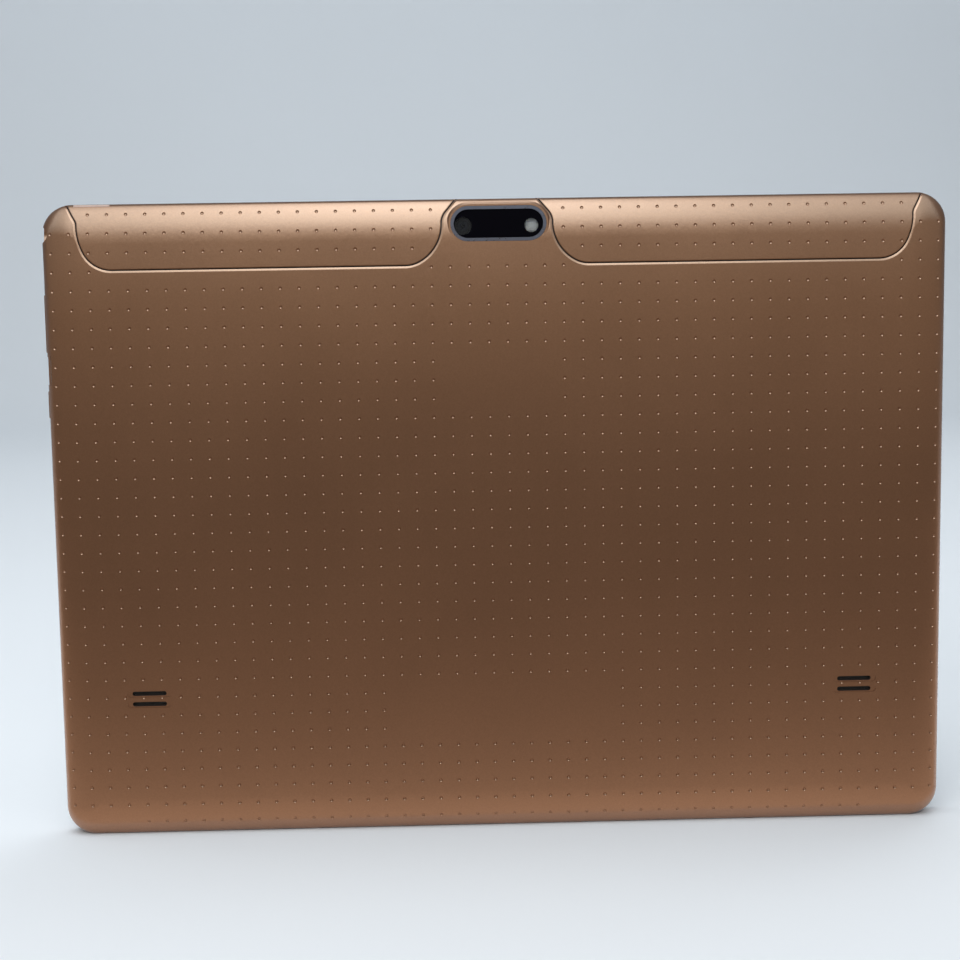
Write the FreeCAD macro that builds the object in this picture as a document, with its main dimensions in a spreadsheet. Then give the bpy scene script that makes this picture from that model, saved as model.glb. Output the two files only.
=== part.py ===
import FreeCAD, Part
import Sketcher
import math
import os

# Tablet computer, millimetres. It stands on its long bottom edge: +X runs along the width, +Z up the height,
# the back shell faces -Y and the screen +Y. The origin is the middle of the bottom edge, at half the thickness.

V = FreeCAD.Vector
doc = FreeCAD.newDocument("Tablet")
sheet = doc.addObject("Spreadsheet::Sheet", "dims")

# ---------------------------------------------------------------- driving dimensions
MAIN = [
    # whole casing
    ("width", 240.0), ("height", 171.0), ("corner_round", 8.0), ("back_plane", -4.8), ("part_plane", -1.2),
    ("lip_plane", 4.65), ("glass_plane", 4.8), ("edge_reach", 10.5), ("rear_wall", 1.4),
    # clip-on covers over the two top recesses
    ("seam_height", 153.75), ("seam_half_gap", 0.18), ("clip_skin", 1.1), ("floor_outside", 1.25), ("floor_inside", 2.05),
    ("recess_wall", 0.8), ("clip_front", -1.9), ("recess_front", -1.75),
    ("far_start", 101.574), ("far_bend_one", 8.16), ("far_turn_one", 65.2), ("far_bend_two", 16.76), ("far_bend_three", 2.5), ("far_turn_three", 29.44),
    ("near_start", 24.35), ("near_bend_one", 7.75), ("near_turn_one", 27.61), ("near_bend_two", 11.27), ("near_bend_three", 4.87), ("near_turn_three", 39.54),
    # tongue of the rear cover behind the front frame's wall
    ("tongue_outside", 1.3), ("tongue_inside", 2.0), ("tongue_root", -2.4), ("tongue_tip", -0.1),
    # front frame
    ("frame_wall", 1.2), ("ledge_rear", 2.45), ("ledge_front", 3.65), ("lip_width", 1.8), ("lcd_gap", 0.35),
    ("lcd_width", 229.5), ("lcd_height", 149.1), ("lcd_centre", 85.3), ("glass_gap", 0.25), ("glass_thickness", 1.0),
    # camera window
    ("window_centre_x", 0.4), ("window_centre_z", 164.5), ("rim_width", 27.5), ("rim_height", 11.2), ("rim_chamfer", 0.55),
    ("seat_width", 25.4), ("seat_height", 9.3), ("seat_plane", -3.55), ("throat_width", 22.6), ("throat_height", 6.6),
    ("boss_end", -2.4), ("room_width", 24.4), ("room_height", 8.4), ("room_plane", -3.1), ("lens_x", -9.0), ("lens_z", 163.9), ("flash_x", 9.1), ("flash_z", 163.9),
    # speaker slots
    ("slot_x", 95.95), ("slot_low", 36.8), ("slot_high", 39.7), ("slot_length", 9.2), ("slot_width", 1.2),
    ("dish_length", 11.9), ("dish_width", 1.9), ("dish_depth", 0.25),
    # openings of the left edge
    ("jack_y", -0.9), ("jack_z", 163.2), ("jack_hole", 2.25), ("jack_bore", 1.78), ("key_y", -0.7), ("key_height", 1.8),
    ("rocker_z", 139.8), ("rocker_length", 15.5), ("power_z", 118.3), ("power_length", 7.5), ("key_stand", 0.2),
    ("usb_z", 127.4), ("usb_y", -1.4), ("mic_z", 109.5),
    # screws
    ("cover_screw_far", 99.5), ("cover_screw_near", 20.5), ("cover_screw_z", 157.5), ("board_screw_z", 165.2),
    ("board_screw_far", 96.0), ("board_screw_near", 35.0), ("board_screw_mid", 15.5), ("plate_screw_z", 6.2),
]
# boxes with rounded corners: centre x, front face y, centre z, size x, size z, depth towards -Y, corner radius
BLOCKS = {
    "lcd_panel": (0.0, 3.6, 85.3, 229.5, 149.1, 1.1, 0.6),
    "backlight_unit": (0.0, 2.5, 85.3, 229.5, 149.1, 1.35, 1.0),
    "processor_chip": (-7.0, -0.15, 144.9, 14.0, 14.0, 1.0, 0.3),
    "memory_chip": (10.5, -0.15, 144.9, 11.5, 13.0, 0.9, 0.3),
    "processor_shield": (4.0, -0.15, 144.9, 44.0, 17.8, 1.8, 1.0),
    "radio_chip": (-33.2, -0.15, 146.0, 8.0, 8.0, 0.9, 0.2),
    "radio_shield": (-33.2, -0.15, 146.5, 18.5, 19.0, 1.7, 1.0),
    "sim_socket_left": (-87.25, -0.15, 149.5, 14.5, 14.0, 1.5, 0.5),
    "sim_socket_right": (-70.25, -0.15, 149.5, 14.5, 14.0, 1.5, 0.5),
    "microsd_socket": (-53.0, -0.15, 149.5, 14.0, 14.0, 1.6, 0.5),
    "microphone": (-114.1, -0.15, 109.5, 3.0, 4.0, 1.1, 0.3),
    "power_switch": (-114.9, -0.15, 118.3, 3.4, 6.0, 1.95, 0.2),
    "micro_usb_socket": (-116.15, -0.15, 127.4, 5.5, 7.6, 2.5, 0.9),
    "front_camera": (0.0, 3.1, 165.0, 6.0, 6.0, 1.95, 0.4),
    "speaker_left": (-97.0, 0.6, 38.25, 32.0, 20.5, 3.3, 2.0),
    "speaker_right": (97.0, 0.6, 38.25, 32.0, 20.5, 3.3, 2.0),
    "battery_cell_left": (-40.0, 0.55, 70.0, 78.0, 112.0, 3.3, 3.0),
    "battery_cell_right": (40.0, 0.55, 70.0, 78.0, 112.0, 3.3, 3.0),
    "battery_protection_board": (0.0, 0.2, 129.2, 82.0, 4.8, 2.0, 0.3),
    "battery_connector": (38.0, -0.15, 137.0, 6.5, 3.6, 1.3, 0.2),
    "lcd_connector": (52.0, -0.15, 148.0, 17.0, 3.2, 1.0, 0.2),
    "touch_connector": (34.0, -0.15, 153.0, 10.0, 2.8, 1.0, 0.2),
    "wifi_antenna": (88.0, -3.25, 146.5, 40.0, 7.0, 0.15, 0.6),
    "main_antenna": (65.0, 0.75, 6.4, 50.0, 6.0, 0.2, 0.6),
    "rear_camera_module": (-9.0, -0.3, 163.9, 7.2, 7.2, 1.7, 0.4),
    "flash_board": (9.1, -1.9, 163.9, 8.2, 5.4, 0.35, 0.4),
    "flash_led": (9.1, -2.25, 163.9, 3.0, 3.0, 0.65, 0.2),
}
WORDS = ("at_x", "front_y", "at_z", "size_x", "size_z", "deep", "rounding")
row = 0
for alias, number in MAIN + [("%s_%s" % (n, w), v) for n, vals in BLOCKS.items() for w, v in zip(WORDS, vals)]:
    row += 1
    sheet.set("A%d" % row, alias)
    sheet.set("B%d" % row, repr(float(number)))
    sheet.setAlias("B%d" % row, alias)
doc.recompute()


def val(e):
    """The number of an expression on the sheet, or a number as it is."""
    if not isinstance(e, str):
        return float(e)
    q = sheet.evalExpression(e)
    return float(getattr(q, "Value", q))


def bind(obj, prop, e):
    if isinstance(e, str):
        obj.setExpression(prop, e)


def role_plane(body, role):
    return next(f for f in body.Origin.OriginFeatures if f.Role == role)


def place(obj, x=0, y=0, z=0):
    obj.Placement = FreeCAD.Placement(V(val(x), val(y), val(z)), FreeCAD.Rotation())
    for axis, e in zip("xyz", (x, y, z)):
        bind(obj, "Placement.Base." + axis, e)
    return obj


def new_body(name, x=0, y=0, z=0):
    body = doc.addObject("PartDesign::Body", name)
    body.Label = name
    return place(body, x, y, z)


def attach(sk, body, role, x, y, z):
    sk.AttachmentSupport = [(role_plane(body, role), "")]
    sk.MapMode = "FlatFace"
    sk.AttachmentOffset = FreeCAD.Placement(V(val(x), val(y), val(z)), FreeCAD.Rotation())
    for axis, e in zip("xyz", (x, y, z)):
        bind(sk, "AttachmentOffset.Base." + axis, e)
    return sk


def dim(sk, name, e, *where):
    i = sk.addConstraint(Sketcher.Constraint(*where, val(e)))
    sk.renameConstraint(i, name)
    bind(sk, "Constraints." + name, e)


C = Sketcher.Constraint
LINE = Part.LineSegment


def arc(cx, cy, r, start):
    return Part.ArcOfCircle(Part.Circle(V(cx, cy, 0), V(0, 0, 1), r), start, start + math.pi / 2)


def draw_rounded(sk, w, h, r, split=False):
    """A rounded rectangle centred on the sketch's origin. With split, it starts in the middle of its low side."""
    W, H, R = val(w) / 2, val(h) / 2, val(r)
    g = [LINE(V(-W + R, -H, 0), V(W - R, -H, 0)), LINE(V(W, -H + R, 0), V(W, H - R, 0)),
         LINE(V(W - R, H, 0), V(-W + R, H, 0)), LINE(V(-W, H - R, 0), V(-W, -H + R, 0)),
         arc(W - R, -H + R, R, -math.pi / 2), arc(W - R, H - R, R, 0),
         arc(-W + R, H - R, R, math.pi / 2), arc(-W + R, -H + R, R, math.pi)]
    if split:
        g = [LINE(V(0, -H, 0), V(W - R, -H, 0))] + g[1:] + [LINE(V(-W + R, -H, 0), V(0, -H, 0))]
    sk.addGeometry(g, False)
    c = [C("Tangent", 0, 2, 4, 1), C("Tangent", 4, 2, 1, 1), C("Tangent", 1, 2, 5, 1), C("Tangent", 5, 2, 2, 1),
         C("Tangent", 2, 2, 6, 1), C("Tangent", 6, 2, 3, 1), C("Tangent", 3, 2, 7, 1), C("Horizontal", 0),
         C("Horizontal", 2), C("Vertical", 1), C("Vertical", 3), C("Equal", 4, 5), C("Equal", 4, 6), C("Equal", 4, 7),
         C("Symmetric", 4, 3, 6, 3, -1, 1)]
    if split:
        c += [C("Tangent", 7, 2, 8, 1), C("Coincident", 8, 2, 0, 1), C("PointOnObject", 0, 1, -2), C("Horizontal", 8)]
    else:
        c += [C("Tangent", 7, 2, 0, 1)]
    sk.addConstraint(c)
    dim(sk, "corner", r, "Radius", 4)
    dim(sk, "spanx", w, "DistanceX", 3, 1, 1, 1)
    dim(sk, "spany", h, "DistanceY", 0, 1, 2, 1)


def draw_rect(sk, w, h):
    W, H = val(w) / 2, val(h) / 2
    p = [V(-W, -H, 0), V(W, -H, 0), V(W, H, 0), V(-W, H, 0)]
    sk.addGeometry([LINE(p[i], p[(i + 1) % 4]) for i in range(4)], False)
    sk.addConstraint([C("Coincident", i, 2, (i + 1) % 4, 1) for i in range(4)] +
                     [C("Horizontal", 0), C("Horizontal", 2), C("Vertical", 1), C("Vertical", 3),
                      C("Symmetric", 0, 1, 1, 2, -1, 1)])
    dim(sk, "spanx", w, "DistanceX", 0, 1, 0, 2)
    dim(sk, "spany", h, "DistanceY", 1, 1, 1, 2)


def draw_slot(sk, w, h, up=False):
    """A stadium of overall length w and width h, along the sketch's x, or its y with up."""
    R = val(h) / 2
    L = val(w) / 2 - R
    if up:
        g = [LINE(V(R, -L, 0), V(R, L, 0)), LINE(V(-R, L, 0), V(-R, -L, 0)),
             Part.ArcOfCircle(Part.Circle(V(0, L, 0), V(0, 0, 1), R), 0, math.pi),
             Part.ArcOfCircle(Part.Circle(V(0, -L, 0), V(0, 0, 1), R), math.pi, 2 * math.pi)]
    else:
        g = [LINE(V(-L, -R, 0), V(L, -R, 0)), LINE(V(L, R, 0), V(-L, R, 0)),
             Part.ArcOfCircle(Part.Circle(V(L, 0, 0), V(0, 0, 1), R), -math.pi / 2, math.pi / 2),
             Part.ArcOfCircle(Part.Circle(V(-L, 0, 0), V(0, 0, 1), R), math.pi / 2, 3 * math.pi / 2)]
    sk.addGeometry(g, False)
    sk.addConstraint([C("Tangent", 0, 2, 2, 1), C("Tangent", 2, 2, 1, 1), C("Tangent", 1, 2, 3, 1), C("Tangent", 3, 2, 0, 1),
                      C("Vertical" if up else "Horizontal", 0), C("Equal", 2, 3), C("Symmetric", 2, 3, 3, 3, -1, 1)])
    dim(sk, "corner", "(%s)/2" % h if isinstance(h, str) else h / 2.0, "Radius", 2)
    e = "(%s)-(%s)" % (w, h)
    dim(sk, "spany" if up else "spanx", e, "DistanceY" if up else "DistanceX", 3, 3, 2, 3)


def draw_circle(sk, r):
    sk.addGeometry(Part.Circle(V(0, 0, 0), V(0, 0, 1), val(r)), False)
    sk.addConstraint(C("Coincident", 0, 3, -1, 1))
    dim(sk, "corner", r, "Radius", 0)


def draw_chain(sk, pts):
    """A closed polygon through the points, each corner held by its distances from the sketch's origin."""
    n = len(pts)
    P = [V(val(a), val(b), 0) for a, b in pts]
    sk.addGeometry([LINE(P[i], P[(i + 1) % n]) for i in range(n)], False)
    sk.addConstraint([C("Coincident", i, 2, (i + 1) % n, 1) for i in range(n)])
    for i, (a, b) in enumerate(pts):
        dim(sk, "px%d" % i, a, "DistanceX", -1, 1, i, 1)
        dim(sk, "py%d" % i, b, "DistanceY", -1, 1, i, 1)


DRAW = {"rounded": draw_rounded, "rect": draw_rect, "slot": draw_slot, "circle": draw_circle, "chain": draw_chain}


def outline(body, name, shape, x=0, z=0, y=0):
    """A sketch in a plane across the thickness, at depth y, its centre at x, z."""
    sk = body.newObject("Sketcher::SketchObject", name)
    attach(sk, body, "XZ_Plane", x, z, ("-(%s)" % y) if isinstance(y, str) else -y)
    DRAW[shape[0]](sk, *shape[1:])
    return sk


def solid_volume(body):
    doc.recompute()
    return body.Shape.Volume if body.Shape and not body.Shape.isNull() else 0.0


def pad(body, name, shape, length, x=0, z=0, y=0, forward=False):
    """Adds material from depth y towards -Y, or towards +Y with forward."""
    sk = outline(body, name + "_sketch", shape, x, z, y)
    f = body.newObject("PartDesign::Pad", name)
    f.Profile = sk
    f.Length = val(length)
    bind(f, "Length", length)
    f.Reversed = forward
    return f


def pocket(body, name, shape, length, x=0, z=0, y=0, forward=True):
    """Removes material from depth y towards +Y, or towards -Y without forward."""
    before = solid_volume(body)
    sk = outline(body, name + "_sketch", shape, x, z, y)
    f = body.newObject("PartDesign::Pocket", name)
    f.Profile = sk
    f.Length = val(length)
    bind(f, "Length", length)
    f.Reversed = not forward
    after = solid_volume(body)
    if after >= before - 1e-6:
        raise ValueError("pocket %s of %s cuts nothing" % (name, body.Label))
    return f


def hide_label(obj):
    obj.Label = "tool_" + obj.Name
    return obj


def cylinder(name, r, length, x, y, z, axis="y"):
    c = doc.addObject("Part::Cylinder", name)
    c.Radius, c.Height = val(r), val(length)
    bind(c, "Radius", r)
    bind(c, "Height", length)
    turn = {"y": FreeCAD.Rotation(V(1, 0, 0), -90), "x": FreeCAD.Rotation(V(0, 1, 0), 90), "z": FreeCAD.Rotation()}[axis]
    c.Placement = FreeCAD.Placement(V(val(x), val(y), val(z)), turn)
    for a, e in zip("xyz", (x, y, z)):
        bind(c, "Placement.Base." + a, e)
    return hide_label(c)


def box(name, x, y, z, w, d, up):
    b = doc.addObject("Part::Box", name)
    b.Length, b.Width, b.Height = val(w), val(d), val(up)
    for p, e in (("Length", w), ("Width", d), ("Height", up)):
        bind(b, p, e)
    place(b, x, y, z)
    return hide_label(b)


def joined(name, kind, members):
    f = doc.addObject("Part::MultiFuse" if kind == "fuse" else "Part::Compound", name)
    if kind == "fuse":
        f.Shapes = members
    else:
        f.Links = members
    return hide_label(f)


def cut(name, base, tool):
    f = doc.addObject("Part::Cut", name)
    f.Base, f.Tool = base, tool
    return hide_label(f)


def common(name, a, b):
    f = doc.addObject("Part::MultiCommon", name)
    f.Shapes = [a, b]
    return hide_label(f)


PARTS = []


def piece(obj, name):
    obj.Label = name
    PARTS.append((name, obj))
    return obj


# ---------------------------------------------------------------- casing envelope
def envelope(name, inset, front):
    """The casing's outer form, inset evenly: a rounded slab whose back edge rolls over in a quarter ellipse.

    The roll is wider than the corners are round, so it comes in layers: a rim swept round the outline, a core inside
    the rim, and a low cap with mitred corners on the core."""
    b = new_body(name)
    w, h = "dims.width-2*(%s)" % inset, "dims.height-2*(%s)" % inset
    r = "dims.corner_round-(%s)" % inset
    if front:
        pad(b, name + "_side", ("rounded", w, h, r), "(%s)-dims.part_plane" % front, 0, "dims.height/2", front)
    reach, rise = "dims.edge_reach-(%s)" % inset, "dims.part_plane-dims.back_plane-(%s)" % inset
    band = "dims.corner_round-(%s)-0.1" % inset
    A, B, D = val(reach), val(rise), val(band)

    def layer(share):
        """Width, height and lift of the form where the given share of the roll between rim and flat is passed."""
        d = "(%s)+%s*((%s)-(%s))" % (band, share, reach, band)
        return ("%s-2*(%s)" % (w, d), "%s-2*(%s)" % (h, d),
                "(%s)*sqrt(1-(%s*((%s)-(%s))/(%s))^2)" % (rise, 1.0 - share, reach, band, reach))

    core_w, core_h, high = layer(0.0)
    pad(b, name + "_core", ("rounded", core_w, core_h, 0.1), high, 0, "dims.height/2", "dims.part_plane")
    path = b.newObject("Sketcher::SketchObject", name + "_path")
    attach(path, b, "XZ_Plane", 0, "dims.height/2", "-dims.part_plane")
    draw_rounded(path, w, h, r, split=True)
    sk = b.newObject("Sketcher::SketchObject", name + "_edge")
    attach(sk, b, "YZ_Plane", "dims.part_plane", "dims.edge_reach", 0)
    el = Part.Ellipse(V(0, -A, 0), V(B, 0, 0), V(0, 0, 0))
    side = Part.ArcOfEllipse(el, 2 * math.pi - math.acos((A - D) / A), 2 * math.pi)      # from (-lift, D - A) to (0, -A)
    lift = val(high)
    sk.addGeometry([side, LINE(V(0, -A, 0), V(0, D - A, 0)), LINE(V(0, D - A, 0), V(-lift, D - A, 0))], False)
    sk.addConstraint([C("Coincident", 0, 2, 1, 1), C("Coincident", 1, 2, 2, 1), C("Coincident", 2, 2, 0, 1),
                      C("Coincident", 0, 3, -1, 1), C("Vertical", 1), C("Horizontal", 2)])
    dim(sk, "reach", reach, "DistanceY", 1, 1, -1, 1)
    dim(sk, "band", band, "DistanceY", 1, 1, 1, 2)
    dim(sk, "rise", high, "DistanceX", 2, 2, 2, 1)
    f = b.newObject("PartDesign::AdditivePipe", name + "_rim")
    f.Profile = sk
    f.Spine = (path, [])
    f.Transition = 0
    sections = []
    for k, share in enumerate((0.0, 0.45, 1.0)):
        cap_w, cap_h, cap_lift = layer(share)
        s = b.newObject("Sketcher::SketchObject", "%s_cap_line%d" % (name, k))
        attach(s, b, "XZ_Plane", 0, "dims.height/2", "(%s)-dims.part_plane" % cap_lift)
        draw_rounded(s, cap_w, cap_h, 0.1)
        sections.append(s)
    f = b.newObject("PartDesign::AdditiveLoft", name + "_cap")
    f.Profile = sections[0]
    f.Sections = [(s, "") for s in sections[1:]]
    f.Ruled = True
    return hide_label(b)


outer = envelope("outer", "0", "")
inner = envelope("inner", "dims.rear_wall", "1.0")
skin_inside = envelope("skin_inside", "dims.clip_skin", "1.0")
floor_out = envelope("floor_out", "dims.floor_outside", "1.0")
floor_in = envelope("floor_in", "dims.floor_inside", "1.0")
doc.recompute()

# ---------------------------------------------------------------- seam of the clip-on covers
# Each end of a cover is a chain of tangent arcs from the straight run upwards: a tight arc, a wide one until it is
# upright, and a small reverse one that flares it into the top edge. far is the outer end, near the camera end.


def seam_end(end, offset):
    """Points (start, middle, end) of each arc, then the last point, in half width and height above the run."""
    x, y, heading = val("dims.%s_start" % end), -offset, 0.0
    sign = 1.0 if end == "far" else -1.0
    one, three = math.radians(val("dims.%s_turn_one" % end)), math.radians(val("dims.%s_turn_three" % end))
    chain = ((val("dims.%s_bend_one" % end) + offset, one, 1), (val("dims.%s_bend_two" % end) + offset, math.pi / 2 - one, 1),
             (val("dims.%s_bend_three" % end) - offset, three, -1))
    arcs = []
    u = 0.0
    for r, turn, way in chain:
        cx, cy = u - way * r * math.sin(heading), y + way * r * math.cos(heading)
        pts = []
        for k in (0.0, 0.5, 1.0):
            q = heading + way * turn * k
            pts.append((cx + way * r * math.sin(q), cy - way * r * math.cos(q)))
        arcs.append(pts)
        u, y = pts[2]
        heading += way * turn
    rest = (20.0 - y) / math.sin(heading)
    last = (u + rest * math.cos(heading), 20.0)
    move = lambda q: (x + sign * q[0], q[1])
    return [[move(q) for q in pts] for pts in arcs], move(last)


def seam_sketch(name, side, offset):
    off = val(offset)
    sk = doc.addObject("Sketcher::SketchObject", name)
    sk.Placement = FreeCAD.Placement(V(0, 0, val("dims.seam_height")), FreeCAD.Rotation(V(1, 0, 0), 90))
    sk.setExpression("Placement.Base.z", "dims.seam_height")
    P = lambda q: V(side * q[0], q[1], 0)
    far, far_last = seam_end("far", off)
    near, near_last = seam_end("near", off)
    geo = [Part.Arc(P(a), P(m), P(e)) for a, m, e in far]
    geo += [LINE(P(far[2][2]), P(far_last)), LINE(P(far_last), P(near_last)), LINE(P(near_last), P(near[2][2]))]
    geo += [Part.Arc(P(e), P(m), P(a)) for a, m, e in near[::-1]]
    geo.append(LINE(P(near[0][0]), P(far[0][0])))
    sk.addGeometry(geo, False)
    return hide_label(sk)


def prism(name, side, offset, front):
    e = doc.addObject("Part::Extrusion", name)
    e.Base = seam_sketch(name + "_line", side, offset)
    e.DirMode = "Custom"
    e.Dir = V(0, -1, 0)
    e.LengthFwd = val("(%s)+8" % front)
    e.LengthRev = 0
    e.Solid = True
    place(e, 0, front, 0)
    e.setExpression("LengthFwd", "(%s)+8" % front)
    return hide_label(e)


clips, recess_blocks, recess_cuts = {}, [], []
for label, side in (("left", -1), ("right", 1)):
    clip_prism = prism("clip_prism_" + label, side, "-dims.seam_half_gap", "dims.clip_front")
    gap_prism = prism("gap_prism_" + label, side, "dims.seam_half_gap", "dims.recess_front")
    wall_prism = prism("wall_prism_" + label, side, "dims.seam_half_gap+dims.recess_wall", "dims.part_plane")
    recess_blocks.append(common("recess_block_" + label, wall_prism, cut("recess_stock_" + label, outer, floor_in)))
    recess_cuts.append(cut("recess_cut_" + label, gap_prism, floor_out))
    clips[label] = common("clip_blank_" + label, clip_prism, cut("clip_stock_" + label, outer, skin_inside))

# ---------------------------------------------------------------- openings shared by the casing halves (left edge)
side_cuts = [
    cylinder("jack_opening", "dims.jack_hole", 10, -125, "dims.jack_y", "dims.jack_z", "x"),
    cylinder("mic_opening", 0.5, 9, -125, -0.8, "dims.mic_z", "x"),
    box("rocker_opening", -125, "dims.key_y-dims.key_height/2-0.12", "dims.rocker_z-dims.rocker_length/2-0.22",
        6.6, "dims.key_height+0.24", "dims.rocker_length+0.44"),
    box("rocker_relief", -118.55, -2.6, "dims.rocker_z-dims.rocker_length/2-1.1", 4.5, 3.2, "dims.rocker_length+2.2"),
    box("power_opening", -125, "dims.key_y-dims.key_height/2-0.12", "dims.power_z-dims.power_length/2-0.15",
        6.6, "dims.key_height+0.24", "dims.power_length+0.3"),
    box("power_relief", -118.55, -2.6, "dims.power_z-dims.power_length/2-1.1", 4.5, 3.2, "dims.power_length+2.2"),
    box("usb_opening", -125, "dims.usb_y-1.0", "dims.usb_z-3.7", 6.5, 2.0, 7.4),
    box("usb_relief", -118.95, "dims.usb_y-1.45", "dims.usb_z-4.05", 5.95, 2.9, 8.1),
]
jack_relief = box("jack_relief", -116.2, -3.15, "dims.jack_z-2.7", 13.2, 4.5, 5.4)
tongue_gap = box("tongue_gap", -120, -2.5, 103.0, 5.0, 2.6, 60.0)
side_tool = joined("side_tool", "fuse", side_cuts)

# ---------------------------------------------------------------- rear cover
shell = cut("shell_blank", outer, inner)
tongue = new_body("tongue")
pad(tongue, "tongue_ring", ("rounded", "dims.width-2*dims.tongue_outside", "dims.height-2*dims.tongue_outside",
                            "dims.corner_round-dims.tongue_outside"),
    "dims.tongue_tip-dims.tongue_root", 0, "dims.height/2", "dims.tongue_tip")
pocket(tongue, "tongue_hole", ("rounded", "dims.width-2*dims.tongue_inside", "dims.height-2*dims.tongue_inside",
                               "dims.corner_round-dims.tongue_inside"),
       "dims.tongue_tip-dims.tongue_root+1", 0, "dims.height/2", "dims.tongue_root-0.5")
hide_label(tongue)
tongue_open = cut("tongue_open", common("tongue_in", tongue, envelope("tongue_limit", "0.3", "1.0")), tongue_gap)

# the camera window's raised rim: a stadium boss, level with the flat back where the top edge rolls away
boss = new_body("boss", "dims.window_centre_x", 0, "dims.window_centre_z")
pad(boss, "boss_body", ("slot", "dims.rim_width", "dims.rim_height"), "dims.boss_end-dims.back_plane", 0, 0, "dims.boss_end")
doc.recompute()
top_edges = [("Edge%d" % (i + 1)) for i, e in enumerate(boss.Shape.Edges)
             if abs(e.BoundBox.YMin - val("dims.back_plane")) < 1e-4 and abs(e.BoundBox.YMax - val("dims.back_plane")) < 1e-4]
cham = boss.newObject("PartDesign::Chamfer", "boss_bevel")
cham.Base = (doc.getObject("boss_body"), top_edges)
cham.Size = val("dims.rim_chamfer")
cham.setExpression("Size", "dims.rim_chamfer")
hide_label(boss)

seat = new_body("seat", "dims.window_centre_x", 0, "dims.window_centre_z")
pad(seat, "seat_pad", ("slot", "dims.seat_width", "dims.seat_height"), "dims.seat_plane-dims.back_plane+2", 0, 0, "dims.seat_plane")
pad(seat, "throat_pad", ("slot", "dims.throat_width", "dims.throat_height"), "3.0", 0, 0, "dims.seat_plane", forward=True)
pad(seat, "room_pad", ("slot", "dims.room_width", "dims.room_height"), "2.5", 0, 0, "dims.room_plane", forward=True)
hide_label(seat)

slot_tools = []
for n, sx in (("left", "-dims.slot_x"), ("right", "dims.slot_x")):
    for m, sz in (("low", "dims.slot_low"), ("high", "dims.slot_high")):
        t = new_body("slot_%s_%s" % (n, m), sx, 0, sz)
        pad(t, "slot_%s_%s_dish" % (n, m), ("slot", "dims.dish_length", "dims.dish_width"), 2.0, 0, 0, "dims.back_plane+dims.dish_depth")
        pad(t, "slot_%s_%s_through" % (n, m), ("slot", "dims.slot_length", "dims.slot_width"), 3.0, 0, 0,
            "dims.back_plane+dims.dish_depth", forward=True)
        slot_tools.append(hide_label(t))

card_window = new_body("card_window", -70.25, 0, 161.75)
pad(card_window, "card_window_pad", ("rounded", 50.5, 8.5, 1.5), 2.5, 0, 0, -1.9)
hide_label(card_window)

SCREWS = (("far_left", "-dims.cover_screw_far"), ("near_left", "-dims.cover_screw_near"),
          ("near_right", "dims.cover_screw_near"), ("far_right", "dims.cover_screw_far"))
screw_bosses, screw_holes = [], []
for n, sx in SCREWS:
    screw_bosses.append(cylinder("cover_boss_" + n, 3.0, 2.1, sx, -3.6, "dims.cover_screw_z"))
    screw_holes.append(cylinder("cover_bore_" + n, 1.9, 3.6, sx, -6.0, "dims.cover_screw_z"))
    screw_holes.append(cylinder("cover_hole_" + n, 0.95, 3.0, sx, -3.0, "dims.cover_screw_z"))
# three slots in each recess floor take the clip-on cover's hooks
HOOKS = {"left": (-92.0, -62.0, -34.0), "right": (92.0, 62.0, 34.0)}
hook_slots = [box("hook_slot_%s_%d" % (n, i), hx - 2.75, -6.0, 154.7, 5.5, 4.0, 1.5)
              for n in HOOKS for i, hx in enumerate(HOOKS[n])]

rear_solid = joined("rear_solid", "fuse", [shell] + recess_blocks + [tongue_open, boss])
recess_tool = joined("recess_tool", "fuse", recess_cuts)
rear_open = cut("rear_open", rear_solid, recess_tool)
rear_bossed = joined("rear_bossed", "fuse", [rear_open] + screw_bosses)
rear_tools = joined("rear_tools", "fuse", [side_tool, jack_relief, seat, card_window] + slot_tools + screw_holes + hook_slots)
rear_cover = piece(cut("rear_cover", rear_bossed, rear_tools), "rear_cover")

# ---------------------------------------------------------------- clip-on covers
for label, side in (("left", -1), ("right", 1)):
    hooks = [box("hook_%s_%d" % (label, i), hx - 2.5, -3.75, 155.05, 5.0, 1.35, 0.8) for i, hx in enumerate(HOOKS[label])]
    solid = joined("clip_solid_" + label, "fuse", [clips[label]] + hooks)
    if label == "left":
        # finger-nail notch in the top edge, near the far end
        notch = box("nail_notch", -111.4, -3.4, 170.45, 9.5, 1.6, 2.0)
        solid = cut("clip_notched", solid, notch)
    else:
        solid = cut("clip_trimmed", solid, box("clip_trim", 100.0, -3.4, 171.5, 9.0, 1.0, 1.0))
    piece(solid, label + "_clip_cover")

# ---------------------------------------------------------------- camera window group
trim = new_body("camera_trim_ring", "dims.window_centre_x", 0, "dims.window_centre_z")
pad(trim, "trim_pad", ("slot", "dims.seat_width-0.1", "dims.seat_height-0.1"), 1.0, 0, 0, -3.75)
pocket(trim, "trim_hole", ("slot", "dims.seat_width-1.8", "dims.seat_height-1.8"), 2.0, 0, 0, -5.0)
piece(trim, "camera_trim_ring")
glass = new_body("camera_window", "dims.window_centre_x", 0, "dims.window_centre_z")
pad(glass, "window_pad", ("slot", "dims.seat_width-1.9", "dims.seat_height-1.9"), 0.75, 0, 0, -3.75)
piece(glass, "camera_window")
gasket = new_body("camera_gasket", "dims.window_centre_x", 0, "dims.window_centre_z")
pad(gasket, "gasket_pad", ("slot", "dims.seat_width-0.2", "dims.seat_height-0.2"), 0.2, 0, 0, -3.55)
pocket(gasket, "gasket_hole", ("slot", "dims.throat_width+0.2", "dims.throat_height+0.2"), 1.0, 0, 0, -4.0)
piece(gasket, "camera_gasket")


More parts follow.
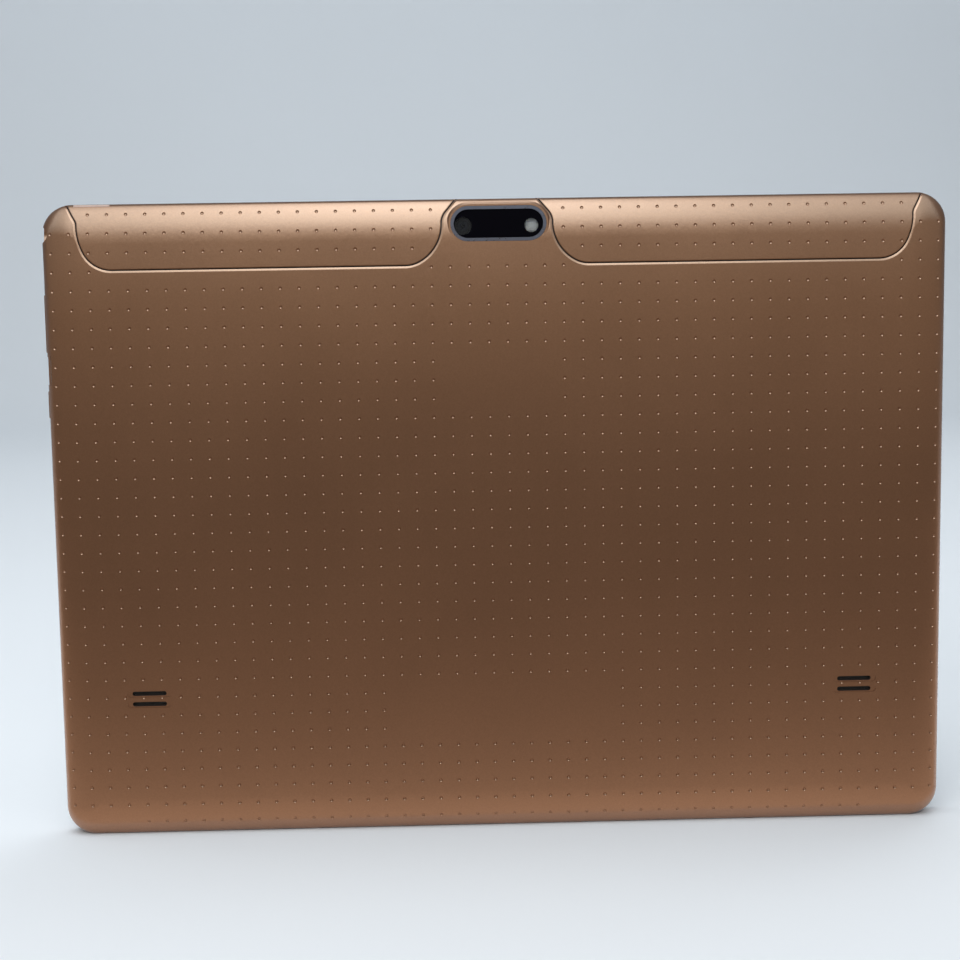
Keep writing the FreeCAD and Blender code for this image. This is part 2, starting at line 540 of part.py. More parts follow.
# ---------------------------------------------------------------- blocks
def block(name):
    a = ["dims.%s_%s" % (name, w) for w in WORDS]
    b = new_body(name, a[0], a[1], a[2])
    pad(b, name + "_pad", ("rounded", a[3], a[4], a[6]), a[5])
    piece(b, name)
    return b, a


bodies = {n: block(n) for n in BLOCKS if n not in ("processor_shield", "radio_shield")}

# shield cans: open boxes of 0.2 mm sheet over their chips
for name in ("processor_shield", "radio_shield"):
    b, a = block(name)
    pocket(b, name + "_inside", ("rounded", a[3] + "-0.4", a[4] + "-0.4", a[6] + "-0.2"), a[5] + "-0.2", 0, 0, 0, forward=False)

# camera module: square base with a lens barrel towards the window
b, a = bodies["rear_camera_module"]
pad(b, "camera_barrel", ("circle", 2.5), 1.05, 0, 0, "-(%s)" % a[5])
pocket(b, "camera_cavity", ("circle", 2.3), 0.95, 0, 0, "-(%s)-1.05" % a[5])
lens = new_body("rear_camera_lens", "dims.lens_x", -2.15, "dims.lens_z")
pad(lens, "lens_barrel", ("circle", 2.25), 0.9)
pocket(lens, "lens_iris", ("circle", 1.5), 0.25, 0, 0, -0.9)
pad(lens, "lens_glass", ("circle", 1.2), 0.3, 0, 0, -0.6)
piece(lens, "rear_camera_lens")
b, a = bodies["front_camera"]
pad(b, "front_camera_barrel", ("circle", 1.9), 0.45, 0, 0, 0, forward=True)
pocket(b, "front_camera_well", ("circle", 1.3), 0.3, 0, 0, 0.45, forward=False)

# flash reflector cup around the light-emitting chip
cup = new_body("flash_reflector", "dims.flash_x", -2.25, "dims.flash_z")
pad(cup, "cup_wall", ("circle", 2.45), 0.8)
pocket(cup, "cup_chip_hole", ("rect", 3.2, 3.2), 2.0, 0, 0, -1.5)
piece(cup, "flash_reflector")

# card sockets: a flat slot opening upwards
for name in ("sim_socket_left", "sim_socket_right", "microsd_socket"):
    b, a = bodies[name]
    sk = b.newObject("Sketcher::SketchObject", name + "_slot_sketch")
    attach(sk, b, "XY_Plane", 0, "-0.75", "(%s)/2" % a[4])
    draw_rect(sk, a[3] + "-1.6", 0.86)
    before = solid_volume(b)
    f = b.newObject("PartDesign::Pocket", name + "_slot")
    f.Profile = sk
    f.Length = 12.5
    if solid_volume(b) >= before - 1e-6:
        raise ValueError("card slot of %s cuts nothing" % name)

# side switches: a well for the plunger
switch = bodies["power_switch"][0]
sw = []
for name, dz in (("volume_switch_low", "-5.0"), ("volume_switch_high", "5.0")):
    b = new_body(name, "dims.power_switch_at_x", "dims.power_switch_front_y", "dims.rocker_z+(%s)" % dz)
    pad(b, name + "_pad", ("rounded", "dims.power_switch_size_x", 5.4, 0.2), "dims.power_switch_deep")
    sw.append(hide_label(b))
for b in [switch] + sw:
    before = solid_volume(b)
    sk = b.newObject("Sketcher::SketchObject", b.Name + "_well_sketch")
    attach(sk, b, "YZ_Plane", -0.975, 0, "-dims.power_switch_size_x/2")
    draw_rect(sk, 1.4, 3.0)
    f = b.newObject("PartDesign::Pocket", b.Name + "_well")
    f.Profile = sk
    f.Length = 1.0
    f.Reversed = True
    if solid_volume(b) >= before - 1e-6:
        raise ValueError("switch well cuts nothing")
piece(joined("volume_switches", "group", sw), "volume_switches")


def plunger(name, z):
    b = new_body(name, -117.1, -1.125, z)
    sk = b.newObject("Sketcher::SketchObject", name + "_sketch")
    attach(sk, b, "YZ_Plane", 0, 0, 0)
    draw_rect(sk, 1.1, 2.6)
    f = b.newObject("PartDesign::Pad", name + "_pad")
    f.Profile = sk
    f.Length = 0.95
    return b


piece(plunger("power_plunger", "dims.power_z"), "power_switch_plunger")
piece(joined("volume_switch_plungers", "group",
             [hide_label(plunger("low_plunger", "dims.rocker_z-5.0")), hide_label(plunger("high_plunger", "dims.rocker_z+5.0"))]),
      "volume_switch_plungers")


# ---------------------------------------------------------------- keys on the left edge
def key(name, z, length, flange_x, stubs):
    """A cap through the wall, a flange that keeps it in, and a stub behind each switch plunger."""
    b = new_body(name, 0, "dims.key_y", z)
    cap = b.newObject("Sketcher::SketchObject", name + "_cap_sketch")
    attach(cap, b, "YZ_Plane", 0, 0, "-dims.width/2-dims.key_stand")
    draw_rounded(cap, "dims.key_height", length, 0.5)
    f = b.newObject("PartDesign::Pad", name + "_cap")
    f.Profile = cap
    f.Length = val(flange_x) + val("dims.width/2+dims.key_stand") + 0.2
    fl = b.newObject("Sketcher::SketchObject", name + "_flange_sketch")
    attach(fl, b, "YZ_Plane", 0, 0, flange_x)
    draw_rect(fl, "dims.key_height+0.3", length + "+1.0")
    f = b.newObject("PartDesign::Pad", name + "_flange")
    f.Profile = fl
    f.Length = 0.6
    for i, dz in enumerate(stubs):
        st = b.newObject("Sketcher::SketchObject", name + "_stub_sketch%d" % i)
        attach(st, b, "YZ_Plane", 0, dz, flange_x + 0.3)
        draw_rect(st, 0.8, 1.8)
        f = b.newObject("PartDesign::Pad", name + "_stub%d" % i)
        f.Profile = st
        f.Length = -117.1 - flange_x - 0.3
    doc.recompute()
    x0 = -val("dims.width/2+dims.key_stand")
    edges = ["Edge%d" % (i + 1) for i, e in enumerate(b.Shape.Edges)
             if abs(e.BoundBox.XMin - x0) < 1e-4 and abs(e.BoundBox.XMax - x0) < 1e-4]
    last = b.Tip
    f = b.newObject("PartDesign::Fillet", name + "_rounding")
    f.Base = (last, edges)
    f.Radius = 0.35
    piece(b, name)
    return b


key("power_button", "dims.power_z", "dims.power_length", -118.4, (0.0,))
key("volume_rocker", "dims.rocker_z", "dims.rocker_length", -118.1, (-5.0, 5.0))

# ---------------------------------------------------------------- micro-USB and headphone sockets
usb = bodies["micro_usb_socket"][0]
before = solid_volume(usb)
sk = usb.newObject("Sketcher::SketchObject", "usb_mouth_sketch")
attach(sk, usb, "YZ_Plane", -1.25, 0, "-dims.micro_usb_socket_size_x/2")
draw_chain(sk, [(-0.9, -3.0), (-0.2, -3.45), (0.9, -3.45), (0.9, 3.45), (-0.2, 3.45), (-0.9, 3.0)])
f = usb.newObject("PartDesign::Pocket", "usb_mouth")
f.Profile = sk
f.Length = 4.8
f.Reversed = True
if solid_volume(usb) >= before - 1e-6:
    raise ValueError("micro-USB mouth cuts nothing")
sk = usb.newObject("Sketcher::SketchObject", "usb_tongue_sketch")
attach(sk, usb, "YZ_Plane", -1.0, 0, "dims.micro_usb_socket_size_x/2-0.7")
draw_rect(sk, 0.5, 5.2)
f = usb.newObject("PartDesign::Pad", "usb_tongue")
f.Profile = sk
f.Length = 4.0
f.Reversed = True

jack = new_body("headphone_jack", 0, "dims.jack_y", "dims.jack_z")
jb = jack.newObject("Sketcher::SketchObject", "jack_box_sketch")
attach(jb, jack, "YZ_Plane", 0, 0, -115.0)
draw_rounded(jb, 4.2, 5.0, 0.4)
f = jack.newObject("PartDesign::Pad", "jack_box")
f.Profile = jb
f.Length = 11.8
jn = jack.newObject("Sketcher::SketchObject", "jack_nose_sketch")
attach(jn, jack, "YZ_Plane", 0, 0, -117.3)
draw_circle(jn, 2.1)
f = jack.newObject("PartDesign::Pad", "jack_nose")
f.Profile = jn
f.Length = 2.8
before = solid_volume(jack)
jh = jack.newObject("Sketcher::SketchObject", "jack_bore_sketch")
attach(jh, jack, "YZ_Plane", 0, 0, -117.3)
draw_circle(jh, "dims.jack_bore")
f = jack.newObject("PartDesign::Pocket", "jack_bore_cut")
f.Profile = jh
f.Length = 13.5
f.Reversed = True
if solid_volume(jack) >= before - 1e-6:
    raise ValueError("jack bore cuts nothing")
piece(jack, "headphone_jack")

# ---------------------------------------------------------------- front frame
frame = new_body("frame_body")
mid = ("dims.height/2")
pad(frame, "frame_outside", ("rounded", "dims.width", "dims.height", "dims.corner_round"), "dims.lip_plane-dims.part_plane", 0, mid, "dims.lip_plane")
pocket(frame, "frame_cavity", ("rounded", "dims.width-2*dims.frame_wall", "dims.height-2*dims.frame_wall", "dims.corner_round-dims.frame_wall"),
       "dims.ledge_rear-dims.part_plane", 0, mid, "dims.part_plane")
pocket(frame, "frame_lcd_opening", ("rounded", "dims.lcd_width+2*dims.lcd_gap", "dims.lcd_height+2*dims.lcd_gap", 1.0),
       4.0, 0, "dims.lcd_centre", "dims.ledge_rear-0.5")
pocket(frame, "frame_glass_seat", ("rounded", "dims.width-2*dims.lip_width", "dims.height-2*dims.lip_width", "dims.corner_round-dims.lip_width"),
       "dims.lip_plane-dims.ledge_front+1", 0, mid, "dims.lip_plane+1", forward=False)
pocket(frame, "frame_camera_hole", ("rounded", 6.6, 6.6, 0.6), 3.0, "dims.front_camera_at_x", "dims.front_camera_at_z", "dims.ledge_rear-0.5")
pocket(frame, "frame_flex_slot", ("rounded", 13.0, 3.4, 0.6), 3.0, 34.0, 162.4, "dims.ledge_rear-0.5")
doc.recompute()
lip = val("dims.lip_plane")
outer_lip = []
for i, e in enumerate(frame.Shape.Edges):
    bb = e.BoundBox
    if abs(bb.YMin - lip) < 1e-4 and abs(bb.YMax - lip) < 1e-4:
        far = max(abs(v.X) for v in e.Vertexes) > 119.9 or min(v.Z for v in e.Vertexes) < 0.1 or max(v.Z for v in e.Vertexes) > 170.9
        if far:
            outer_lip.append("Edge%d" % (i + 1))
last = frame.Tip
f = frame.newObject("PartDesign::Fillet", "frame_lip_rounding")
f.Base = (last, outer_lip)
f.Radius = 0.5
hide_label(frame)
PLATE_SCREWS = (("bottom_left", "-dims.board_screw_far", "dims.plate_screw_z"), ("bottom_mid", "0", "dims.plate_screw_z"),
                ("bottom_right", "dims.board_screw_far", "dims.plate_screw_z"), ("top_right", "dims.board_screw_far", "dims.board_screw_z"))
BOARD_SCREWS = (("top_left", "-dims.board_screw_far", "dims.board_screw_z"), ("mid_left", "-dims.board_screw_near", "dims.board_screw_z"),
                ("mid_right", "dims.board_screw_mid", "dims.board_screw_z"))
frame_bosses = [cylinder("frame_boss_" + n, 2.2, 1.5, sx, 1.05, sz) for n, sx, sz in PLATE_SCREWS + BOARD_SCREWS]
frame_holes = [cylinder("frame_hole_" + n, 0.84, 2.0, sx, 0.9, sz) for n, sx, sz in PLATE_SCREWS + BOARD_SCREWS]
frame_full = joined("frame_full", "fuse", [frame] + frame_bosses)
frame_tool = joined("frame_tool", "fuse", [side_tool] + frame_holes)
piece(cut("front_frame", frame_full, frame_tool), "front_frame")

# ---------------------------------------------------------------- touch glass and its adhesive
tg = new_body("touch_glass")
pad(tg, "glass_pad", ("rounded", "dims.width-2*(dims.lip_width+dims.glass_gap)", "dims.height-2*(dims.lip_width+dims.glass_gap)",
                      "dims.corner_round-dims.lip_width-dims.glass_gap"), "dims.glass_thickness", 0, mid, "dims.glass_plane")
doc.recompute()
edges = ["Edge%d" % (i + 1) for i, e in enumerate(tg.Shape.Edges) if e.BoundBox.YMin > val("dims.glass_plane") - 1e-4]
last = tg.Tip
f = tg.newObject("PartDesign::Chamfer", "glass_bevel")
f.Base = (last, edges)
f.Size = 0.2
piece(tg, "touch_glass")
ad = new_body("glass_adhesive")
pad(ad, "adhesive_pad", ("rounded", "dims.width-5.4", "dims.height-5.4", "dims.corner_round-2.7"), 0.15, 0, mid, 3.8)
pocket(ad, "adhesive_opening", ("rounded", "dims.lcd_width+2*dims.lcd_gap+0.4", "dims.lcd_height+2*dims.lcd_gap+0.4", 1.2), 1.0, 0, "dims.lcd_centre", 3.3)
pocket(ad, "adhesive_camera_hole", ("circle", 2.4), 1.0, "dims.front_camera_at_x", "dims.front_camera_at_z", 3.3)
pocket(ad, "adhesive_flex_hole", ("rounded", 13.0, 3.4, 0.6), 1.0, 34.0, 162.4, 3.3)
piece(ad, "glass_adhesive")

# ---------------------------------------------------------------- mid plate
mp = new_body("mid_plate")
pad(mp, "plate_pad", ("rounded", 230.0, 165.0, 4.0), 0.3, 0, 85.5, 1.05)
pocket(mp, "plate_jack_gap", ("rect", 14.0, 12.0), 1.0, -109.0, 166.0, 0.5)
pocket(mp, "plate_camera_gap", ("rounded", 8.0, 12.0, 1.0), 1.0, "dims.front_camera_at_x", 166.0, 0.5)
pocket(mp, "plate_flex_gap", ("rounded", 34.0, 3.6, 1.0), 1.0, 44.5, 161.9, 0.5)
for n, sx, sz in PLATE_SCREWS + BOARD_SCREWS:
    pocket(mp, "plate_hole_" + n, ("circle", 1.0), 1.0, sx, sz, 0.5)
piece(mp, "mid_plate")

# ---------------------------------------------------------------- main board: a strip along the top with an arm down the left edge
mb = new_body("main_board")
pad(mb, "board_strip", ("chain", [(-117.0, 104.5), (-104.0, 104.5), (-104.0, 133.0), (-101.0, 134.0), (62.0, 134.0), (62.0, 160.1), (21.0, 160.1),
                                  (21.0, 168.0), (10.0, 168.0), (10.0, 160.1), (-29.5, 160.1), (-29.5, 168.0), (-40.5, 168.0), (-40.5, 160.1),
                                  (-90.5, 160.1), (-90.5, 168.0), (-101.5, 168.0), (-101.5, 160.1), (-117.0, 160.1)]), 0.8, 0, 0, 0.65)
for n, sx, sz in BOARD_SCREWS:
    pocket(mb, "board_hole_" + n, ("circle", 1.0), 2.0, sx, sz, -0.5)
for n, sx in SCREWS[:3]:
    pocket(mb, "board_standoff_hole_" + n, ("circle", 2.1), 2.0, sx, "dims.cover_screw_z", -0.5)
piece(mb, "main_board")


# ---------------------------------------------------------------- screws and standoffs
def screw(name, x, z, head_rear, head_height, head_r, shank_r, tip):
    """A pan-head screw whose head faces the back of the tablet, with a cross recess."""
    b = new_body(name, x, head_rear, z)
    pad(b, name + "_head", ("circle", head_r), head_height, 0, 0, 0, forward=True)
    pad(b, name + "_shank", ("circle", shank_r), tip - head_rear - head_height, 0, 0, head_height, forward=True)
    pocket(b, name + "_cross_a", ("rect", head_r * 1.2, head_r * 0.28), 0.3, 0, 0, -0.1)
    pocket(b, name + "_cross_b", ("rect", head_r * 0.28, head_r * 1.2), 0.3, 0, 0, -0.1)
    return hide_label(b)


piece(joined("cover_screws", "group", [screw("cover_screw_" + n, sx, "dims.cover_screw_z", -3.1, 0.7, 1.6, 0.68, 0.3) for n, sx in SCREWS]), "cover_screws")
frame_screws = [screw("board_screw_" + n, sx, sz, -0.75, 0.6, 1.6, 0.8, 2.4) for n, sx, sz in BOARD_SCREWS]
frame_screws += [screw("plate_screw_" + n, sx, sz, 0.25, 0.5, 1.6, 0.8, 2.4) for n, sx, sz in PLATE_SCREWS]
piece(joined("frame_screws", "group", frame_screws), "frame_screws")
stand = []
for n, sx in SCREWS:
    b = new_body("standoff_" + n, sx, 0.75, "dims.cover_screw_z")
    pad(b, "standoff_%s_pad" % n, ("circle", 1.8), 2.2)
    pocket(b, "standoff_%s_thread" % n, ("circle", 0.72), 2.0, 0, 0, -2.2)
    stand.append(hide_label(b))
piece(joined("standoffs", "group", stand), "standoffs")


# ---------------------------------------------------------------- speakers
for n, side in (("left", -1), ("right", 1)):
    b, a = bodies["speaker_" + n]
    pocket(b, "speaker_%s_well" % n, ("rounded", 11.5, 5.6, 1.5), 0.6, side * -1.05, 0, "-(%s)" % a[5])
    mesh = new_body("speaker_mesh_" + n, "%d*dims.slot_x" % side, -3.3, "(dims.slot_low+dims.slot_high)/2")
    pad(mesh, "speaker_mesh_%s_pad" % n, ("rounded", 13.6, 6.6, 1.0), 0.1)
    piece(mesh, "speaker_mesh_" + n)
rings = []
for n, side in (("left", -1), ("right", 1)):
    g = new_body("speaker_gasket_" + n, "%d*dims.slot_x" % side, -2.7, "(dims.slot_low+dims.slot_high)/2")
    pad(g, "speaker_gasket_%s_pad" % n, ("rounded", 15.0, 8.0, 1.6), 0.6)
    pocket(g, "speaker_gasket_%s_hole" % n, ("rounded", 11.5, 5.6, 1.2), 2.0, 0, 0, -1.0)
    rings.append(hide_label(g))
piece(joined("speaker_gaskets", "group", rings), "speaker_gaskets")

# ---------------------------------------------------------------- vibration motor: a coin
vm = new_body("vibration_motor", 98.0, 0.7, 110.0)
pad(vm, "motor_coin", ("circle", 5.0), 2.6)
pad(vm, "motor_tab", ("rect", 4.0, 3.0), 0.4, 0, -6.0, 0)
piece(vm, "vibration_motor")

# ---------------------------------------------------------------- battery tape and leads
bt = new_body("battery_tape", 0, 0.75, 70.0)
pad(bt, "tape_pad", ("rounded", 140.0, 90.0, 2.0), 0.2)
piece(bt, "battery_tape")


def lead(name, pts, depth, w, thick, bend):
    """A flat twin lead: a stadium section swept along straight runs joined by tangent arcs, at one depth."""
    b = new_body(name, 0, depth, 0)
    path = b.newObject("Sketcher::SketchObject", name + "_path")
    attach(path, b, "XZ_Plane", 0, 0, 0)
    P = [V(x, z, 0) for x, z in pts]
    geo, start = [], P[0]
    for i in range(1, len(P) - 1):
        u, w2 = (P[i] - P[i - 1]).normalize(), (P[i + 1] - P[i]).normalize()
        half = math.acos(max(-1, min(1, u.dot(w2)))) / 2
        t = bend * math.tan(half)
        a, c = P[i] - u * t, P[i] + w2 * t
        m = P[i] + (w2 - u).normalize() * (bend / math.cos(half) - bend)
        geo += [LINE(start, a), Part.Arc(a, m, c)]
        start = c
    geo.append(LINE(start, P[-1]))
    path.addGeometry(geo, False)
    prof = b.newObject("Sketcher::SketchObject", name + "_section")
    up = abs(P[1].y - P[0].y) > abs(P[1].x - P[0].x)
    attach(prof, b, "XY_Plane" if up else "YZ_Plane", *((P[0].x, 0, P[0].y) if up else (0, P[0].y, P[0].x)))
    draw_slot(prof, w, thick, up=not up)
    f = b.newObject("PartDesign::AdditivePipe", name + "_sweep")
    f.Profile = prof
    f.Spine = (path, [])
    f.Transition = 0
    doc.recompute()
    if not b.Shape.isValid() or b.Shape.Volume <= 0:
        raise ValueError(name + " did not sweep")
    piece(b, name)
    return b


lead("speaker_lead_left", [(-84.0, 48.5), (-84.0, 70.0), (-90.0, 84.0), (-97.0, 100.0), (-97.0, 120.0), (-100.0, 134.5)], -0.6, 1.5, 0.7, 5.0)
lead("speaker_lead_right", [(84.0, 48.5), (84.0, 90.0), (83.0, 116.0), (76.0, 138.5), (62.0, 138.5)], -0.6, 1.5, 0.7, 5.0)
lead("battery_leads", [(38.0, 131.6), (38.0, 135.2)], -0.8, 3.0, 0.8, 1.0)
lead("antenna_cable", [(90.0, 9.4), (90.0, 15.0), (113.5, 20.0), (115.3, 34.0), (115.2, 100.0), (114.0, 128.0), (90.0, 141.5), (62.0, 141.5)], -0.4, 0.81, 0.8, 6.0)


# ---------------------------------------------------------------- flat flexible cables: a folded ribbon, bent over the board's top edge
def ribbon(name, x, width, pts, thick):
    """pts is the rear line of the ribbon in y, z; it is thickened and drawn out along X."""
    b = new_body(name, x, 0, 0)
    sk = b.newObject("Sketcher::SketchObject", name + "_side")
    attach(sk, b, "YZ_Plane", 0, 0, 0)
    P = [V(y, z, 0) for y, z in pts]
    n = len(P)
    left, right = [], []
    for i in range(n):
        d = []
        if i > 0:
            d.append((P[i] - P[i - 1]).normalize())
        if i < n - 1:
            d.append((P[i + 1] - P[i]).normalize())
        nrm = [V(-q.y, q.x, 0) for q in d]
        m = nrm[0] if len(nrm) == 1 else (nrm[0] + nrm[1]).normalize()
        k = 1.0 / max(0.5, m.dot(nrm[0]))
        left.append(P[i] + m * (thick / 2 * k))
        right.append(P[i] - m * (thick / 2 * k))
    draw_chain(sk, [(q.x, q.y) for q in left + right[::-1]])
    f = b.newObject("PartDesign::Pad", name + "_pad")
    f.Profile = sk
    f.Length = width
    f.Midplane = True
    piece(b, name)
    return b


ribbon("lcd_flex", 52.0, 15.0, [(1.6, 159.93), (1.6, 161.3), (1.1, 162.1), (0.2, 162.3), (-0.6, 161.7), (-0.9, 160.4), (-1.25, 158.5), (-1.25, 146.8)], 0.15)
ribbon("touch_flex", 34.0, 9.0, [(3.72, 162.6), (2.4, 162.6), (1.0, 162.7), (0.0, 162.5), (-0.7, 161.6), (-1.0, 160.2), (-1.25, 158.5), (-1.25, 151.8)], 0.12)

# ---------------------------------------------------------------- check, then write
doc.recompute()
bad = [(o.Name, o.State) for o in doc.Objects if any(k in ("Invalid", "Error") for k in o.State)]
if bad:
    raise ValueError("objects failed: %s" % bad)
names = [n for n, _ in PARTS]
if len(set(names)) != len(names) or len(names) > 60:
    raise ValueError("labels: %d" % len(names))
for name, obj in PARTS:
    s = obj.Shape
    if s.isNull() or not s.isValid() or not s.Solids or s.Volume <= 0:
        raise ValueError("%s: shape not valid" % name)
    if obj.Label != name:
        raise ValueError("%s: label %s" % (name, obj.Label))
os.makedirs("parts", exist_ok=True)
for name, obj in PARTS:
    obj.Shape.exportStep("parts/%s.step" % name)
    bb = obj.Shape.BoundBox
    print("%-26s %2d solid(s) %9.2f mm3  x %8.2f %8.2f  y %6.2f %6.2f  z %7.2f %7.2f" % (
        name, len(obj.Shape.Solids), obj.Shape.Volume, bb.XMin, bb.XMax, bb.YMin, bb.YMax, bb.ZMin, bb.ZMax))
print(len(PARTS), "parts")
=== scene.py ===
import math
import random

import bmesh
import bpy
import numpy as np
from mathutils import Matrix, Vector

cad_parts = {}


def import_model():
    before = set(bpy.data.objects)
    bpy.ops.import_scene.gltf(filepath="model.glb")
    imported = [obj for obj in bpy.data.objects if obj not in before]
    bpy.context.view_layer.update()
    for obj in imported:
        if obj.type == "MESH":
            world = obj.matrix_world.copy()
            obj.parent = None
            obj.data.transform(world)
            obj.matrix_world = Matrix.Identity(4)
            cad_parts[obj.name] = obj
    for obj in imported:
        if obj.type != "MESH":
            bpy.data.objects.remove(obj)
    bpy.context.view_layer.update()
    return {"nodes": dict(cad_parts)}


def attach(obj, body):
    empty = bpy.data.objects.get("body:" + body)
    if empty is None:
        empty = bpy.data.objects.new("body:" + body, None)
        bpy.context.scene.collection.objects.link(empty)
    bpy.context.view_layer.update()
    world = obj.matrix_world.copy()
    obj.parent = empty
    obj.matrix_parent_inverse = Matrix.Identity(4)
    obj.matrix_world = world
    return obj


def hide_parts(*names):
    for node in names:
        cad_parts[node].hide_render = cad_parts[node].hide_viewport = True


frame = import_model()
NODES = frame["nodes"]
SCN = bpy.context.scene
MM = 0.001

# ------------------------------------------------------------------ camera


def make_camera():
    cam_data = bpy.data.cameras.new("view")
    cam = bpy.data.objects.new("view", cam_data)
    SCN.collection.objects.link(cam)
    cam_data.sensor_width = 36.0
    cam_data.lens = 71.167
    cam_data.clip_start, cam_data.clip_end = 0.01, 30.0
    turn = Vector((0.1297240, -0.0281157, -0.0173466))
    rot = Matrix.Rotation(turn.length, 3, turn.normalized())
    away = Vector((12.75831, -17.25929, 507.02880))
    grid = Matrix(((1, 0, 0), (0, 0, -1), (0, 1, 0)))
    flip = Matrix(((1, 0, 0), (0, -1, 0), (0, 0, -1)))
    world = (flip @ rot @ grid).transposed()
    where = -(rot.transposed() @ away)
    spot = Vector((where.x + 7.5, where.z - 4.8, 113.5 - where.y)) * MM
    cam.matrix_world = Matrix.Translation(spot) @ world.to_4x4()
    SCN.camera = cam
    return cam


make_camera()
SCN.view_settings.view_transform = "Standard"
SCN.view_settings.look = "None"

# ------------------------------------------------------------------ node helpers


class Graph:
    def __init__(self, name):
        self.mat = bpy.data.materials.new(name)
        self.mat.use_nodes = True
        self.nt = self.mat.node_tree
        self.nt.nodes.clear()
        self.out = self.nt.nodes.new("ShaderNodeOutputMaterial")
        self.co = self.add("ShaderNodeTexCoord").outputs["Object"]

    def add(self, kind, props=None, **ins):
        n = self.nt.nodes.new(kind)
        for k, v in (props or {}).items():
            setattr(n, k, v)
        for k, v in ins.items():
            self.put(n, k, v)
        return n

    def put(self, n, k, v):
        s = n.inputs[int(k[1:])] if k[0] == "i" and k[1:].isdigit() else n.inputs[k.replace("_", " ")]
        if isinstance(v, bpy.types.NodeSocket):
            self.nt.links.new(v, s)
        else:
            s.default_value = v

    def math(self, op, a, b=0.0, c=0.0, clamp=False):
        return self.add("ShaderNodeMath", {"operation": op, "use_clamp": clamp}, i0=a, i1=b, i2=c).outputs[0]

    def vmath(self, op, a, b=(0, 0, 0), scale=None):
        n = self.add("ShaderNodeVectorMath", {"operation": op}, i0=a, i1=b)
        if scale is not None:
            self.put(n, "Scale", scale)
        return n.outputs[0]

    def noise(self, scale, detail=2.0, rough=0.5, dist=0.0, co=None, out="Fac"):
        n = self.add("ShaderNodeTexNoise", None, Vector=co or self.co, Scale=scale, Detail=detail, Roughness=rough, Distortion=dist)
        return n.outputs[out]

    def voronoi(self, scale, feature="F1", out="Distance", co=None, rnd=1.0):
        n = self.add("ShaderNodeTexVoronoi", {"feature": feature}, Vector=co or self.co, Scale=scale, Randomness=rnd)
        return n.outputs[out]

    def stretch(self, sx, sy, sz, co=None):
        return self.add("ShaderNodeMapping", None, Vector=co or self.co, Scale=(sx, sy, sz)).outputs[0]

    def ramp(self, fac, stops, mode="LINEAR"):
        n = self.add("ShaderNodeValToRGB", None, Fac=fac)
        cr = n.color_ramp
        cr.interpolation = mode
        while len(cr.elements) > 1:
            cr.elements.remove(cr.elements[-1])
        cr.elements[0].position = stops[0][0]
        cr.elements[0].color = self.rgba(stops[0][1])
        for p, c in stops[1:]:
            cr.elements.new(p).color = self.rgba(c)
        return n.outputs["Color"]

    def rgba(self, c):
        if isinstance(c, (int, float)):
            return (c, c, c, 1)
        return tuple(c) + ((1,) if len(c) == 3 else ())

    def mix(self, fac, a, b, blend="MIX"):
        n = self.add("ShaderNodeMix", {"data_type": "RGBA", "blend_type": blend})
        self.put(n, "i0", fac)
        for k, v in (("i6", a), ("i7", b)):
            self.put(n, k, v if isinstance(v, bpy.types.NodeSocket) else self.rgba(v))
        return n.outputs[2]

    def span(self, v, a, b, lo=0.0, hi=1.0, smooth=False):
        return self.add("ShaderNodeMapRange", {"interpolation_type": "SMOOTHSTEP" if smooth else "LINEAR"},
                        Value=v, From_Min=a, From_Max=b, To_Min=lo, To_Max=hi).outputs[0]

    def xyz(self, co=None):
        return self.add("ShaderNodeSeparateXYZ", None, Vector=co or self.co).outputs

    def bump(self, height, dist, strength=1.0, normal=None):
        n = self.add("ShaderNodeBump", None, Height=height, Distance=dist, Strength=strength)
        if normal is not None:
            self.put(n, "Normal", normal)
        return n.outputs[0]

    def shade(self, **ins):
        return self.add("ShaderNodeBsdfPrincipled", None, **ins)

    def done(self, shader):
        self.nt.links.new(shader.outputs[0] if hasattr(shader, "outputs") else shader, self.out.inputs["Surface"])
        return self.mat


# ------------------------------------------------------------------ materials


def paint(name, base, rough=0.30, coat=1.0, flake=0.06):
    g = Graph(name)
    cell = g.add("ShaderNodeTexVoronoi", {"feature": "F1"}, Vector=g.co, Scale=5200.0)
    tilt = g.vmath("SCALE", g.vmath("SUBTRACT", cell.outputs["Color"], (0.5, 0.5, 0.5)), scale=flake)
    plain = g.add("ShaderNodeNewGeometry").outputs["Normal"]
    flaky = g.vmath("NORMALIZE", g.vmath("ADD", plain, tilt))
    peel = g.bump(g.noise(1150.0, 2.0, 0.55), 0.000006, 1.0, flaky)
    broad = g.noise(23.0, 3.0, 0.55)
    fine = g.noise(2600.0, 1.0, 0.5)
    tone = g.span(broad, 0.3, 0.7, 0.965, 1.035)
    grain = g.span(fine, 0.25, 0.75, 0.95, 1.05)
    colour = g.mix(1.0, base, g.math("MULTIPLY", tone, grain), "MULTIPLY")
    speck = g.span(g.voronoi(150.0), 0.0, 0.035, 1.0, 0.0)
    colour = g.mix(g.math("MULTIPLY", speck, 0.25), colour, (0.30, 0.24, 0.19))
    r = g.math("ADD", g.span(broad, 0.3, 0.7, rough - 0.02, rough + 0.02), g.math("MULTIPLY", speck, 0.1))
    return g.done(g.shade(Base_Color=colour, Metallic=0.96, Roughness=r, Normal=peel, Coat_Weight=coat,
                          Coat_Roughness=0.20, Coat_Normal=g.bump(g.noise(1150.0, 2.0, 0.55), 0.000004)))


